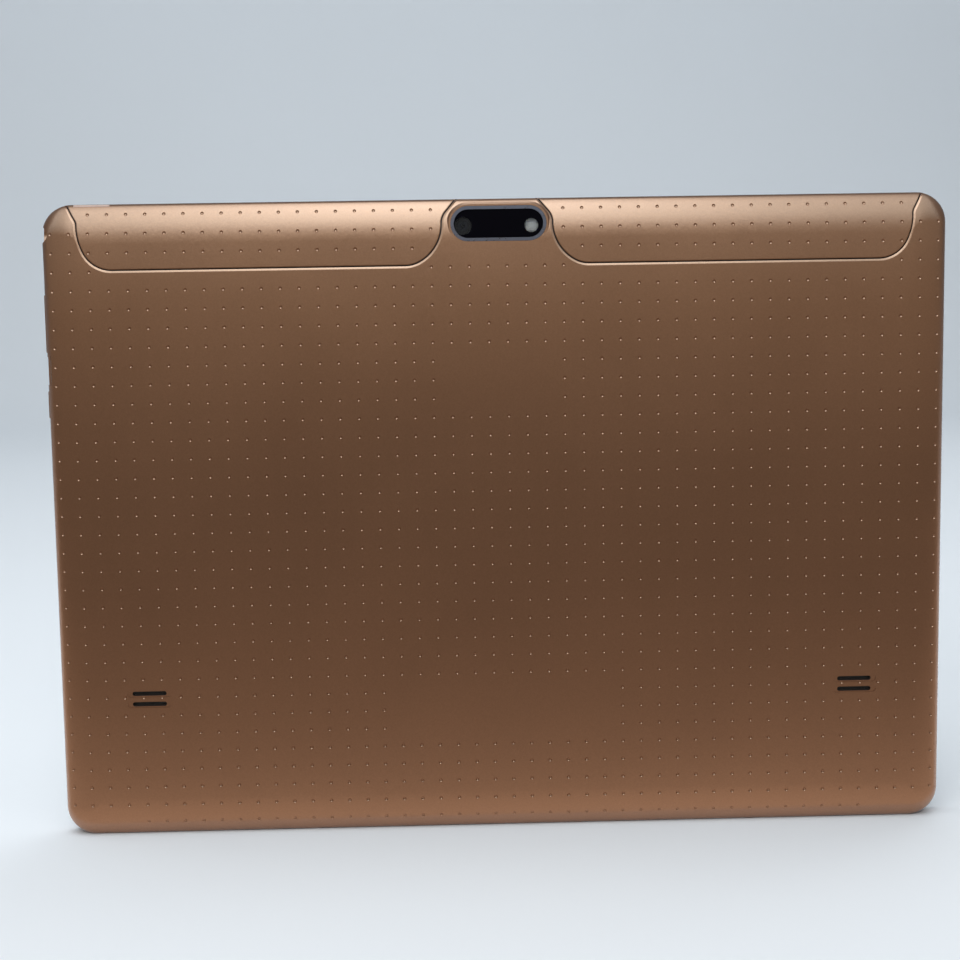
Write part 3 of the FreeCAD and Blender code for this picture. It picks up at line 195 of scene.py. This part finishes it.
def metal(name, base, rough=0.28, grain=(1, 14, 1), deep=0.000003):
    g = Graph(name)
    lines = g.noise(900.0, 3.0, 0.6, co=g.stretch(*grain))
    broad = g.noise(140.0, 3.0, 0.6)
    colour = g.mix(g.span(broad, 0.3, 0.7, 0.0, 0.35), base, tuple(c * 0.72 for c in base))
    r = g.math("ADD", g.span(lines, 0.3, 0.7, rough - 0.07, rough + 0.07), g.span(broad, 0.35, 0.7, 0.0, 0.08))
    return g.done(g.shade(Base_Color=colour, Metallic=1.0, Roughness=r, Normal=g.bump(lines, deep)))


def plastic(name, base, rough=0.45, bump=0.000008, scale=2400.0, coat=0.0):
    g = Graph(name)
    spark = g.noise(scale, 3.0, 0.6)
    broad = g.noise(120.0, 3.0, 0.55)
    colour = g.mix(g.span(broad, 0.3, 0.7, 0.0, 0.5), base, tuple(min(1, c * 1.25 + 0.004) for c in base))
    r = g.math("ADD", g.span(spark, 0.3, 0.7, rough - 0.05, rough + 0.06), g.span(broad, 0.3, 0.7, 0.0, 0.06))
    return g.done(g.shade(Base_Color=colour, Roughness=r, Normal=g.bump(spark, bump), Coat_Weight=coat, Coat_Roughness=0.1))


def raw_plastic_with_painted_light(name, dark, highlight_tint):
    """Unpainted plastic: dark, a colour that also serves as painted shade in the parting gap, and a light pinkish
    painted highlight on the ledge that shows in the nail recess.
    """
    g = Graph(name)
    x, y, z = g.xyz()
    along = g.span(g.math("ABSOLUTE", g.math("ADD", x, 0.10665)), 0.0047, 0.0048, 1.0, 0.0)
    # Mask of the painted highlight: a light pinkish patch on the ledge in the nail recess, standing in for top light
    # falling there.
    ledge_highlight_mask = g.math("MULTIPLY", along, g.math("MULTIPLY", g.span(z, 0.1696, 0.1697), g.span(y, -0.00205, -0.00200)))
    base = g.mix(ledge_highlight_mask, dark, highlight_tint)
    spark = g.noise(2400.0, 3.0, 0.6)
    colour = g.mix(g.span(g.noise(120.0, 3.0, 0.55), 0.3, 0.7, 0.0, 0.5), base, g.mix(1.0, base, (0.8, 0.8, 0.8), "MULTIPLY"))
    return g.done(g.shade(Base_Color=colour, Roughness=g.span(spark, 0.3, 0.7, 0.50, 0.60), Normal=g.bump(spark, 0.000008)))


def rubber(name, base, rough=0.7):
    g = Graph(name)
    pores = g.voronoi(3800.0)
    dust = g.noise(260.0, 3.0, 0.6)
    colour = g.mix(g.span(dust, 0.35, 0.75, 0.0, 0.4), base, tuple(c * 1.5 + 0.01 for c in base))
    return g.done(g.shade(Base_Color=colour, Roughness=rough, Normal=g.bump(pores, 0.00001)))


def board(name):
    g = Graph(name)
    x, y, z = g.xyz()
    runs = g.add("ShaderNodeTexBrick", {"offset": 0.5, "squash": 1.0}, Vector=g.add("ShaderNodeCombineXYZ", None, X=x, Y=z, Z=0.0).outputs[0],
                 Scale=420.0, Mortar_Size=0.03, Brick_Width=1.6, Row_Height=0.34)
    tracks = g.math("MULTIPLY", runs.outputs["Fac"], g.span(g.noise(70.0, 1.0), 0.46, 0.5))
    vias = g.span(g.voronoi(620.0), 0.1, 0.16, 1.0, 0.0)
    rings = g.math("MULTIPLY", vias, g.span(g.voronoi(620.0, out="Color"), 0.55, 0.56))
    colour = g.mix(g.noise(60.0, 2.0), (0.006, 0.075, 0.028), (0.010, 0.105, 0.040))
    colour = g.mix(tracks, colour, (0.020, 0.20, 0.075))
    colour = g.mix(rings, colour, (0.72, 0.58, 0.28))
    high = g.math("ADD", g.math("MULTIPLY", tracks, 0.5), rings)
    return g.done(g.shade(Base_Color=colour, Metallic=rings, Roughness=0.34, Normal=g.bump(high, 0.00003), Coat_Weight=0.35, Coat_Roughness=0.2))


def chip(name):
    g = Graph(name)
    grain = g.noise(3300.0, 3.0, 0.65)
    cloud = g.noise(300.0, 2.0)
    colour = g.mix(cloud, (0.018, 0.018, 0.02), (0.034, 0.034, 0.037))
    return g.done(g.shade(Base_Color=colour, Roughness=g.span(grain, 0.3, 0.7, 0.42, 0.6), Normal=g.bump(grain, 0.000012)))


def pouch(name):
    g = Graph(name)
    folds = g.noise(95.0, 5.0, 0.62, 1.4)
    fine = g.noise(900.0, 2.0)
    colour = g.mix(g.span(folds, 0.35, 0.65), (0.60, 0.61, 0.63), (0.46, 0.47, 0.50))
    return g.done(g.shade(Base_Color=colour, Metallic=0.9, Roughness=g.span(fine, 0.3, 0.7, 0.24, 0.34), Normal=g.bump(folds, 0.0003)))


def film(name):
    g = Graph(name)
    x, y, z = g.xyz()
    lines = g.add("ShaderNodeTexWave", {"bands_direction": "X", "wave_profile": "SIN"}, Vector=g.co, Scale=330.0, Distortion=0.0).outputs["Fac"]
    rows = g.span(lines, 0.45, 0.55)
    cloud = g.noise(160.0, 2.0)
    colour = g.mix(rows, (0.42, 0.17, 0.03), (0.62, 0.30, 0.08))
    colour = g.mix(g.math("MULTIPLY", cloud, 0.3), colour, (0.25, 0.09, 0.02))
    return g.done(g.shade(Base_Color=colour, Metallic=0.15, Roughness=0.3, Normal=g.bump(rows, 0.00001), Coat_Weight=0.5, Coat_Roughness=0.15))


def woven(name):
    g = Graph(name)
    one = g.add("ShaderNodeTexWave", {"bands_direction": "X", "wave_profile": "SIN"}, Vector=g.co, Scale=1050.0).outputs["Fac"]
    two = g.add("ShaderNodeTexWave", {"bands_direction": "Z", "wave_profile": "SIN"}, Vector=g.co, Scale=1050.0).outputs["Fac"]
    over = g.math("MAXIMUM", one, two)
    colour = g.mix(g.span(over, 0.4, 0.9), (0.002, 0.002, 0.002), (0.05, 0.045, 0.04))
    return g.done(g.shade(Base_Color=colour, Roughness=0.6, Normal=g.bump(over, 0.00006)))


def wires(name, colours):
    g = Graph(name)
    x, y, z = g.xyz()
    side = g.span(g.noise(140.0, 0.0), 0.47, 0.53)
    colour = g.mix(side, colours[0], colours[1])
    colour = g.mix(g.math("MULTIPLY", g.noise(700.0, 3.0), 0.35), colour, (0.12, 0.10, 0.09))
    return g.done(g.shade(Base_Color=colour, Roughness=g.span(g.noise(1500.0), 0.3, 0.7, 0.32, 0.48), Normal=g.bump(g.noise(1500.0), 0.00001)))


def round_mask(g, cx, cz, r, soft=0.00006):
    x, y, z = g.xyz()
    dx, dz = g.math("SUBTRACT", x, cx), g.math("SUBTRACT", z, cz)
    far = g.math("SQRT", g.math("ADD", g.math("MULTIPLY", dx, dx), g.math("MULTIPLY", dz, dz)))
    return g.span(far, r - soft, r + soft, 1.0, 0.0)


def clear_through(g, tint):
    gloss = g.add("ShaderNodeBsdfGlossy", None, Color=(0.2, 0.2, 0.22, 1), Roughness=0.015)
    see = g.add("ShaderNodeBsdfTransparent", None, Color=tint)
    fres = g.add("ShaderNodeFresnel", None, IOR=1.5).outputs[0]
    return g.add("ShaderNodeMixShader", None, i0=fres, i1=see.outputs[0], i2=gloss.outputs[0]).outputs[0]


def window_glass(name):
    g = Graph(name)
    smear = g.noise(420.0, 3.0, 0.6)
    ink = g.shade(Base_Color=(0.0016, 0.0014, 0.0030, 1), Roughness=g.span(smear, 0.35, 0.7, 0.035, 0.09), Specular_IOR_Level=0.04)
    hole = g.math("MAXIMUM", round_mask(g, -0.0090, 0.1639, 0.00235), round_mask(g, 0.0091, 0.1639, 0.00185))
    glass = clear_through(g, (0.93, 0.94, 0.95, 1))
    return g.done(g.add("ShaderNodeMixShader", None, i0=hole, i1=ink.outputs[0], i2=glass).outputs[0])


def screen_glass(name):
    g = Graph(name)
    x, y, z = g.xyz()
    hx = g.math("ABSOLUTE", x)
    hz = g.math("ABSOLUTE", g.math("SUBTRACT", z, 0.0853))
    inside = g.math("MULTIPLY", g.span(hx, 0.10850, 0.10862, 1.0, 0.0), g.span(hz, 0.06780, 0.06792, 1.0, 0.0))
    hole = g.math("MAXIMUM", inside, round_mask(g, 0.0, 0.165, 0.0016))
    smear = g.noise(38.0, 5.0, 0.65, 0.8)
    prints = g.span(smear, 0.45, 0.75, 0.02, 0.11)
    ink = g.shade(Base_Color=(0.004, 0.004, 0.005, 1), Roughness=prints, Coat_Weight=0.5, Coat_Roughness=0.02)
    gloss = g.add("ShaderNodeBsdfGlossy", None, Color=(1, 1, 1, 1), Roughness=prints)
    see = g.add("ShaderNodeBsdfTransparent", None, Color=(0.80, 0.81, 0.82, 1))
    fres = g.add("ShaderNodeFresnel", None, IOR=1.5).outputs[0]
    clear = g.add("ShaderNodeMixShader", None, i0=fres, i1=see.outputs[0], i2=gloss.outputs[0]).outputs[0]
    return g.done(g.add("ShaderNodeMixShader", None, i0=hole, i1=ink.outputs[0], i2=clear).outputs[0])


def lcd(name):
    g = Graph(name)
    x, y, z = g.xyz()
    fine = g.add("ShaderNodeTexWave", {"bands_direction": "X", "wave_profile": "SAW"}, Vector=g.co, Scale=2000.0).outputs["Fac"]
    cloud = g.noise(14.0, 2.0)
    colour = g.mix(g.span(cloud, 0.3, 0.7), (0.010, 0.012, 0.016), (0.017, 0.019, 0.025))
    colour = g.mix(g.math("MULTIPLY", fine, 0.15), colour, (0.03, 0.032, 0.045))
    return g.done(g.shade(Base_Color=colour, Roughness=0.22, Specular_IOR_Level=0.35, Coat_Weight=0.2, Coat_Roughness=0.3,
                          Normal=g.bump(g.noise(2600.0), 0.000002)))


def lens_coat(name):
    g = Graph(name)
    x, y, z = g.xyz()
    dx, dz = g.math("SUBTRACT", x, -0.0090), g.math("SUBTRACT", z, 0.1639)
    far = g.math("SQRT", g.math("ADD", g.math("MULTIPLY", dx, dx), g.math("MULTIPLY", dz, dz)))
    rings = g.ramp(g.span(far, 0.0, 0.0023), [(0.0, (0.002, 0.002, 0.003)), (0.22, (0.004, 0.004, 0.006)), (0.30, (0.02, 0.022, 0.03)),
                                              (0.52, (0.024, 0.025, 0.030)), (0.62, (0.02, 0.02, 0.022)), (0.78, (0.028, 0.028, 0.031)), (1.0, (0.016, 0.016, 0.018))])
    return g.done(g.shade(Base_Color=rings, Roughness=g.span(g.noise(2400.0), 0.3, 0.7, 0.16, 0.26), Coat_Weight=0.15, Coat_Roughness=0.04, Specular_IOR_Level=0.2))


def phosphor(name):
    g = Graph(name)
    grain = g.voronoi(4200.0)
    colour = g.mix(g.span(grain, 0.0, 0.6), (0.80, 0.78, 0.66), (0.95, 0.94, 0.90))
    return g.done(g.shade(Base_Color=colour, Roughness=0.5, Normal=g.bump(grain, 0.00003), Subsurface_Weight=0.1, Subsurface_Radius=(0.0006, 0.0005, 0.0002)))


COPPER = (0.385, 0.190, 0.104, 1)
MATS = {
    "casing_paint": paint("casing_paint", COPPER),
    # Dark unpainted plastic that also serves as painted shade on the parting-gap walls, with a painted highlight on
    # the nail-recess ledge.
    "raw_plastic_gap_shade_highlight": raw_plastic_with_painted_light("raw_plastic_gap_shade_highlight", (0.050, 0.028, 0.022), (0.80, 0.62, 0.55)),
    "key_paint": paint("key_paint", COPPER, 0.32, 0.3),
    "silver_trim": metal("silver_trim", (0.17, 0.165, 0.20), 0.30, (1, 1, 1), 0.000002),
    "black_glass": window_glass("black_glass"),
    "display_glass": screen_glass("display_glass"),
    "lens_glass": lens_coat("lens_glass"),
    "foam": rubber("foam", (0.02, 0.02, 0.02), 0.85),
    "lcd": lcd("lcd"),
    "backlight": plastic("backlight", (0.62, 0.63, 0.63), 0.5),
    "adhesive": rubber("adhesive", (0.015, 0.015, 0.015), 0.6),
    "steel": metal("steel", (0.62, 0.62, 0.61), 0.27),
    "screw_steel": metal("screw_steel", (0.26, 0.26, 0.27), 0.33, (1, 1, 1)),
    "brass": metal("brass", (0.72, 0.52, 0.22), 0.24, (1, 6, 1)),
    "board": board("board"),
    "chip": chip("chip"),
    "black_plastic": plastic("black_plastic", (0.016, 0.016, 0.018), 0.4),
    "white_plastic": plastic("white_plastic", (0.70, 0.69, 0.64), 0.38),
    "phosphor": phosphor("phosphor"),
    "pouch": pouch("pouch"),
    "flex": film("flex"),
    "mesh": woven("mesh"),
    "wire": wires("wire", ((0.35, 0.012, 0.01), (0.012, 0.012, 0.012))),
    "coax": wires("coax", ((0.012, 0.012, 0.012), (0.03, 0.03, 0.03))),
}
GROUPS = {
    "casing_paint": ["rear_cover", "left_clip_cover", "right_clip_cover", "front_frame"], "key_paint": ["power_button", "volume_rocker"],
    "silver_trim": ["camera_trim_ring"], "black_glass": ["camera_window"], "display_glass": ["touch_glass"], "lens_glass": ["rear_camera_lens"],
    "foam": ["camera_gasket", "speaker_gaskets"], "lcd": ["lcd_panel"], "backlight": ["backlight_unit"], "adhesive": ["glass_adhesive", "battery_tape"],
    "steel": ["mid_plate", "processor_shield", "radio_shield", "micro_usb_socket", "sim_socket_left", "sim_socket_right", "microsd_socket", "vibration_motor"],
    "screw_steel": ["cover_screws", "frame_screws"], "brass": ["standoffs"], "board": ["main_board", "flash_board", "battery_protection_board"],
    "chip": ["processor_chip", "memory_chip", "radio_chip"],
    "black_plastic": ["headphone_jack", "microphone", "power_switch", "volume_switches", "speaker_left", "speaker_right", "rear_camera_module", "front_camera"],
    "white_plastic": ["battery_connector", "lcd_connector", "touch_connector", "power_switch_plunger", "volume_switch_plungers", "flash_reflector"],
    "phosphor": ["flash_led"], "pouch": ["battery_cell_left", "battery_cell_right"], "flex": ["lcd_flex", "touch_flex", "wifi_antenna", "main_antenna"],
    "mesh": ["speaker_mesh_left", "speaker_mesh_right"], "wire": ["speaker_lead_left", "speaker_lead_right", "battery_leads"], "coax": ["antenna_cable"],
}
for slot_name, names in GROUPS.items():
    for n in names:
        o = NODES[n]
        o.data.materials.clear()
        o.data.materials.append(MATS[slot_name])

# ------------------------------------------------------------------ outer surface of the back

HALF_W, HALF_H, MID_Z, CORNER = 120.0, 85.5, 85.5, 8.0
BACK, PART, REACH = -4.8, -1.2, 10.5
RISE = PART - BACK


def inward(x, z):
    """Distance inwards from the outline, and the outward direction in the outline's plane."""
    qx, qz = abs(x) - (HALF_W - CORNER), abs(z - MID_Z) - (HALF_H - CORNER)
    if qx > 0 and qz > 0:
        m = math.hypot(qx, qz)
        nx, nz, d = qx / m, qz / m, CORNER - m
    elif qx > qz:
        nx, nz, d = 1.0, 0.0, CORNER - qx
    else:
        nx, nz, d = 0.0, 1.0, CORNER - qz
    return d, math.copysign(nx, x), math.copysign(nz, z - MID_Z)


def back_point(x, z):
    """Point and outward normal of the back's outer surface above x, z."""
    d, nx, nz = inward(x, z)
    if d >= REACH:
        return Vector((x, BACK, z)), Vector((0, -1, 0))
    u = min(1.0, (REACH - d) / REACH)
    v = math.sqrt(max(0.0, 1 - u * u))
    n = Vector((nx * u / REACH, -v / RISE, nz * u / REACH)).normalized()
    return Vector((x, PART - RISE * v, z)), n


SEAM_Z, GAP = 153.75, 0.18
ENDS = {"far": (101.574, 8.16, math.radians(65.2), 16.76, 2.5, math.radians(29.44)), "near": (24.35, 7.75, math.radians(27.61), 11.27, 4.87, math.radians(39.54))}


def seam_half(end, side, step=0.35):
    """Points x, z of one end of a cover's parting line, from the straight run to the top edge."""
    x0, r1, a1, r2, r3, a3 = ENDS[end]
    sign = 1.0 if end == "far" else -1.0
    th, u, w = 0.0, 0.0, 0.0
    pts = [(0.0, 0.0)]
    for r, a, s in ((r1, a1, 1), (r2, math.pi / 2 - a1, 1), (r3, a3, -1)):
        cx, cy = u - s * r * math.sin(th), w + s * r * math.cos(th)
        n = max(2, int(r * a / step))
        for k in range(1, n + 1):
            q = th + s * a * k / n
            pts.append((cx + s * r * math.sin(q), cy - s * r * math.cos(q)))
        u, w = pts[-1]
        th += s * a
    z_end = SEAM_Z + w
    a0 = math.acos(max(-1.0, 1 - (171.0 - z_end) / REACH))
    n = 14
    for k in range(1, n + 1):
        z = 171.0 - REACH * (1 - math.cos(a0 * (1 - k / n)))
        h = z - z_end
        pts.append((u + h / math.tan(th), w + h))
    return [(side * (x0 + sign * p[0]), SEAM_Z + p[1]) for p in pts]


def seam_line(side):
    near, far = seam_half("near", side), seam_half("far", side)
    x0, x1 = near[0][0], far[0][0]
    run = [(x0 + (x1 - x0) * k / 40, SEAM_Z) for k in range(1, 40)]
    return near[::-1] + run + far


SEAMS = {-1: seam_line(-1), 1: seam_line(1)}
SEAM_POINTS = np.array([p for s in SEAMS.values() for p in s])

# ------------------------------------------------------------------ dimples


def dimple_spots():
    spots = []
    for row in range(34):
        z = 168.3 - 4.985 * row
        for col in range(48):
            x = -117.5 + 5.0 * col
            ax = abs(x)
            if row <= 2 and ax < 13:
                continue
            if row == 0 and not 17 < ax < 108:
                continue
            if row == 3 and 18 < ax < 107:
                continue
            if row in (8, 9, 10) and ax < 13:
                continue
            if row in (26, 27, 28) and ax < 28:
                continue
            if row == 33 and ax > 102:
                continue
            if np.min(np.hypot(SEAM_POINTS[:, 0] - x, SEAM_POINTS[:, 1] - z)) < 0.85:
                continue
            spots.append((x, z))
    return spots


def ball(bm, centre, radius, up, rings=8, seg=16):
    """A closed ball whose pole points along up."""
    side = up.orthogonal().normalized()
    other = up.cross(side)
    top = bm.verts.new(centre + up * radius)
    low = bm.verts.new(centre - up * radius)
    prev = None
    loops = []
    for i in range(1, rings):
        a = math.pi * i / rings
        loops.append([bm.verts.new(centre + up * (radius * math.cos(a)) + (side * math.cos(b) + other * math.sin(b)) * (radius * math.sin(a)))
                      for b in [2 * math.pi * k / seg for k in range(seg)]])
    for k in range(seg):
        m = (k + 1) % seg
        bm.faces.new((top, loops[0][k], loops[0][m]))
        bm.faces.new((low, loops[-1][m], loops[-1][k]))
        for a, b in zip(loops, loops[1:]):
            bm.faces.new((a[k], b[k], b[m], a[m]))


def mesh_object(name, bm):
    me = bpy.data.meshes.new(name)
    bm.to_mesh(me)
    bm.free()
    o = bpy.data.objects.new(name, me)
    SCN.collection.objects.link(o)
    return o


def dimple_tool(name, spots, radius=0.54, lift=0.25):
    bm = bmesh.new()
    for x, z in spots:
        p, n = back_point(x, z)
        faint = 1.0 if z > 8 else 0.82
        ball(bm, (p + n * lift / faint) * MM, radius * MM, -n)
    bmesh.ops.recalc_face_normals(bm, faces=bm.faces)
    return mesh_object(name, bm)


def seam_tool(name, side, half=0.54, deep=0.24, shift=0.14):
    """A flat bar of diamond section that follows the parting line, to bevel the casing's edge beside the gap."""
    pts = [back_point(x, z) for x, z in SEAMS[side]]
    bm = bmesh.new()
    loops = []
    last = len(pts) - 1
    for k, (p, n) in enumerate(pts):
        t = (pts[min(last, k + 1)][0] - pts[max(0, k - 1)][0]).normalized()
        b = t.cross(n).normalized()
        q = p + b * (side * shift)
        loops.append([bm.verts.new((q + v) * MM) for v in (n * deep, b * half, -n * deep, -b * half)])
    for a, b in zip(loops, loops[1:]):
        for k in range(4):
            m = (k + 1) % 4
            bm.faces.new((a[k], a[m], b[m], b[k]))
    bm.faces.new(loops[0][::-1])
    bm.faces.new(loops[-1])
    if bm.calc_volume(signed=True) < 0:
        bmesh.ops.reverse_faces(bm, faces=bm.faces[:])
    return mesh_object(name, bm)


def clean_copy(node, name):
    src = NODES[node].data
    bm = bmesh.new()
    bm.from_mesh(src)
    bmesh.ops.remove_doubles(bm, verts=bm.verts, dist=2e-7)
    verts = [v.co.copy() for v in bm.verts]
    bm.verts.index_update()
    faces = [[v.index for v in f.verts] for f in bm.faces]
    bm.free()
    me = bpy.data.meshes.new(name)
    me.from_pydata([tuple(v) for v in verts], [], faces)
    me.update()
    o = bpy.data.objects.new(name, me)
    SCN.collection.objects.link(o)
    return o


def carve(o, tools):
    for t in tools:
        m = o.modifiers.new("cut", "BOOLEAN")
        m.operation = "DIFFERENCE"
        m.solver = "MANIFOLD"
        m.object = t
    bpy.context.view_layer.update()
    dg = bpy.context.evaluated_depsgraph_get()
    me = bpy.data.meshes.new_from_object(o.evaluated_get(dg))
    me.name = o.name
    o.modifiers.clear()
    o.data = me
    return o


def fine_shading(o, limit=32.0):
    """Sharp edges by angle, and exact normals where a face lies on the back's outer surface."""
    me = o.data
    bm = bmesh.new()
    bm.from_mesh(me)
    lim = math.radians(limit)
    for e in bm.edges:
        e.smooth = len(e.link_faces) == 2 and e.calc_face_angle(0.0) < lim
    for f in bm.faces:
        f.smooth = True
    bm.to_mesh(me)
    bm.free()
    normals = [Vector(c.vector) for c in me.corner_normals]
    exact = {}
    for poly in me.polygons:
        fn = poly.normal
        if fn.y > 0.2:
            continue
        for li in poly.loop_indices:
            vi = me.loops[li].vertex_index
            if vi not in exact:
                c = me.vertices[vi].co / MM
                p, n = back_point(c.x, c.z)
                d, nx, nz = inward(c.x, c.z)
                if d < 0.6 and c.y < PART + 0.02:
                    u = Vector((nx, nz)).length
                    v = max(0.0, min(1.0, (PART - c.y) / RISE))
                    uu = math.sqrt(max(0.0, 1 - v * v))
                    n = Vector((nx * uu / REACH, -v / RISE, nz * uu / REACH)).normalized()
                    exact[vi] = (n, abs((REACH - d) / REACH - uu) * REACH < 0.06)
                else:
                    exact[vi] = (n, abs(c.y - p.y) < 0.03)
            n, on = exact[vi]
            if on and fn.dot(n) > 0.955:
                normals[li] = n
    me.normals_split_custom_set([tuple(n) for n in normals])
    return o


def unpainted_and_shaded_faces(o):
    """Faces away from the painted outside show unpainted plastic; its dark colour also serves as painted shade on
    the walls of the parting gap.
    """
    for poly in o.data.polygons:
        c = poly.center / MM
        d = inward(c.x, c.z)[0]
        if c.y > PART - 0.3 or d < 0.05:
            painted = d < 0.6
        else:
            painted = c.y < back_point(c.x, c.z)[0].y + 0.42
        # Back-facing ledge faces above the seam take the same material, so the painted highlight on the nail-recess
        # ledge shows there.
        ledge = poly.normal.y < -0.9 and c.y > -2.0 and c.z > SEAM_Z
        if ledge or not painted:
            poly.material_index = 1


SPOTS = dimple_spots()
left_spots = [p for p in SPOTS if p[0] < 0 and p[1] > SEAM_Z]
right_spots = [p for p in SPOTS if p[0] > 0 and p[1] > SEAM_Z]
spots_for = {"rear_cover": SPOTS, "left_clip_cover": left_spots, "right_clip_cover": right_spots}
seam_tools = {s: seam_tool("seam_tool_%d" % (s + 1), s) for s in (-1, 1)}
skins = {}
for node, body, sides in (("rear_cover", "chassis", (-1, 1)), ("left_clip_cover", "left_cover", (-1,)), ("right_clip_cover", "right_cover", (1,))):
    tool = dimple_tool("dimple_tool_" + node, spots_for[node])
    skin = clean_copy(node, node + "_skin")
    carve(skin, [tool] + [seam_tools[s] for s in sides])
    fine_shading(skin)
    skin.data.materials.clear()
    for m in ("casing_paint", "raw_plastic_gap_shade_highlight"):
        skin.data.materials.append(MATS[m])
    unpainted_and_shaded_faces(skin)
    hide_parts(node)
    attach(skin, body)
    skins[node] = skin
    bpy.data.objects.remove(tool)
for t in seam_tools.values():
    bpy.data.objects.remove(t)

# ------------------------------------------------------------------ stage and light


def stage_floor():
    """Floor that turns up smoothly into a far wall."""
    bm = bmesh.new()
    prof = [(-9.0, 0.0), (1.10, 0.0)]
    for k in range(1, 13):
        a = math.pi / 2 * k / 12
        prof.append((1.10 + 0.40 * math.sin(a), 0.40 - 0.40 * math.cos(a)))
    prof.append((1.50, 3.0))
    rows = [[bm.verts.new((x, y, z)) for y, z in prof] for x in (-9.0, 9.0)]
    for k in range(len(prof) - 1):
        bm.faces.new((rows[0][k], rows[1][k], rows[1][k + 1], rows[0][k + 1]))
    o = mesh_object("stage_sweep", bm)
    for f in o.data.polygons:
        f.use_smooth = True
    g = Graph("stage_matt")
    tone = g.span(g.noise(3.0, 2.0), 0.3, 0.7, 0.985, 1.0)
    colour = g.mix(1.0, (0.785, 0.825, 0.865), tone, "MULTIPLY")
    o.data.materials.append(g.done(g.shade(Base_Color=colour, Roughness=0.7, Specular_IOR_Level=0.0)))


def area(name, spot, aim, size, power, colour=(1, 1, 1), size_y=None):
    data = bpy.data.lights.new(name, "AREA")
    data.energy, data.color = power, colour
    data.shape = "RECTANGLE"
    data.size, data.size_y = size, size_y or size
    o = bpy.data.objects.new(name, data)
    SCN.collection.objects.link(o)
    o.location = spot
    o.rotation_euler = (Vector(aim) - Vector(spot)).to_track_quat("-Z", "Y").to_euler()
    o.visible_camera = o.visible_glossy = False
    return o


def world():
    w = bpy.data.worlds.new("studio")
    SCN.world = w
    w.use_nodes = True
    nt = w.node_tree
    nt.nodes.clear()
    out = nt.nodes.new("ShaderNodeOutputWorld")
    bg = nt.nodes.new("ShaderNodeBackground")
    tc = nt.nodes.new("ShaderNodeTexCoord")
    sep = nt.nodes.new("ShaderNodeSeparateXYZ")
    nt.links.new(tc.outputs["Generated"], sep.inputs[0])
    ramp = nt.nodes.new("ShaderNodeValToRGB")
    cr = ramp.color_ramp
    cr.elements[0].position, cr.elements[0].color = 0.50, (0.53, 0.55, 0.57, 1)
    cr.elements[1].position, cr.elements[1].color = 0.95, (0.80, 0.86, 0.92, 1)
    up = nt.nodes.new("ShaderNodeMath")
    up.operation = "MULTIPLY_ADD"
    up.inputs[1].default_value = 0.5
    up.inputs[2].default_value = 0.5
    nt.links.new(sep.outputs["Z"], up.inputs[0])
    nt.links.new(up.outputs[0], ramp.inputs["Fac"])
    nt.links.new(ramp.outputs["Color"], bg.inputs["Color"])
    bg.inputs["Strength"].default_value = 0.35
    nt.links.new(bg.outputs[0], out.inputs["Surface"])


stage_floor()
world()
area("top_soft", (-0.20, -0.12, 0.90), (0.0, -0.02, 0.05), 0.8, 4.2, (0.97, 0.99, 1.0), 0.5)
area("front_high", (-0.22, -1.05, 0.92), (-0.02, 0.0, 0.13), 0.9, 8.0, (1.0, 0.985, 0.96), 0.55)
area("wall_wash", (0.0, 0.75, 0.95), (0.0, 1.5, 0.15), 1.8, 2.8, (0.95, 0.985, 1.0), 0.5)
area("back_fill", (0.3, 0.50, 0.95), (0.0, 0.02, 0.06), 0.7, 2.5, (0.97, 0.99, 1.0))


def card(name, prof, axis, span, stops, fade=None, half=0.75):
    """A glowing sheet that only shows in reflections; prof runs from the foot of the casing up and over it."""
    bm = bmesh.new()
    rows = [[bm.verts.new((x, y, z)) for y, z in prof] for x in np.linspace(-half, half, 5)]
    for a, b in zip(rows, rows[1:]):
        for k in range(len(prof) - 1):
            bm.faces.new((a[k], b[k], b[k + 1], a[k + 1]))
    o = mesh_object(name, bm)
    g = Graph(name + "_glow")
    x, y, z = g.xyz()
    low, high = span
    at = lambda q: (q - low) / (high - low)
    tone = g.ramp(g.span(y if axis == "y" else z, low, high), [(at(p), tuple(c / 5.0 for c in col)) for p, col in stops])
    if fade:
        side = g.ramp(g.span(x, -0.30, 0.30), [((p + 0.30) / 0.60, (v, v, v)) for p, v in fade])
        tone = g.mix(g.span(z, 0.15, 0.21), tone, g.mix(1.0, tone, side, "MULTIPLY"))
    o.data.materials.append(g.done(g.add("ShaderNodeEmission", None, Color=tone, Strength=5.0)))
    o.visible_camera = o.visible_diffuse = o.visible_shadow = False


FOOT = [(-0.115, (0.34, 0.30, 0.26)), (-0.06, (0.42, 0.38, 0.33)), (-0.016, (0.62, 0.57, 0.50)), (0.0, (0.72, 0.67, 0.60))]
RISER = [(0.002, (0.30, 0.27, 0.23)), (0.025, (0.24, 0.215, 0.185)), (0.066, (0.205, 0.187, 0.16)), (0.086, (0.205, 0.187, 0.16)),
         (0.107, (0.24, 0.218, 0.185)), (0.127, (0.29, 0.265, 0.22)), (0.145, (0.32, 0.29, 0.235)), (0.186, (0.60, 0.62, 0.59)),
         (0.2325, (1.6, 1.95, 2.15)), (0.32, (2.4, 3.15, 3.6)), (0.5, (2.8, 3.7, 4.3)), (0.75, (3.2, 4.2, 4.9)), (1.05, (2.4, 3.0, 3.4))]
FADE = [(-0.30, 0.35), (-0.145, 0.74), (-0.085, 1.0), (0.0, 1.0), (0.07, 0.92), (0.176, 0.46), (0.30, 0.3)]
card("stage_foot", [(-0.006, 0.0008), (-0.115, 0.0008)], "y", (-0.115, 0.0), FOOT)
card("stage_card", [(-0.115, 0.0008), (-0.115, 0.150), (-0.30, 0.26), (-0.42, 0.46), (-0.40, 0.72), (-0.25, 0.95), (0.0, 1.05)],
     "z", (0.0, 1.06), RISER, FADE)
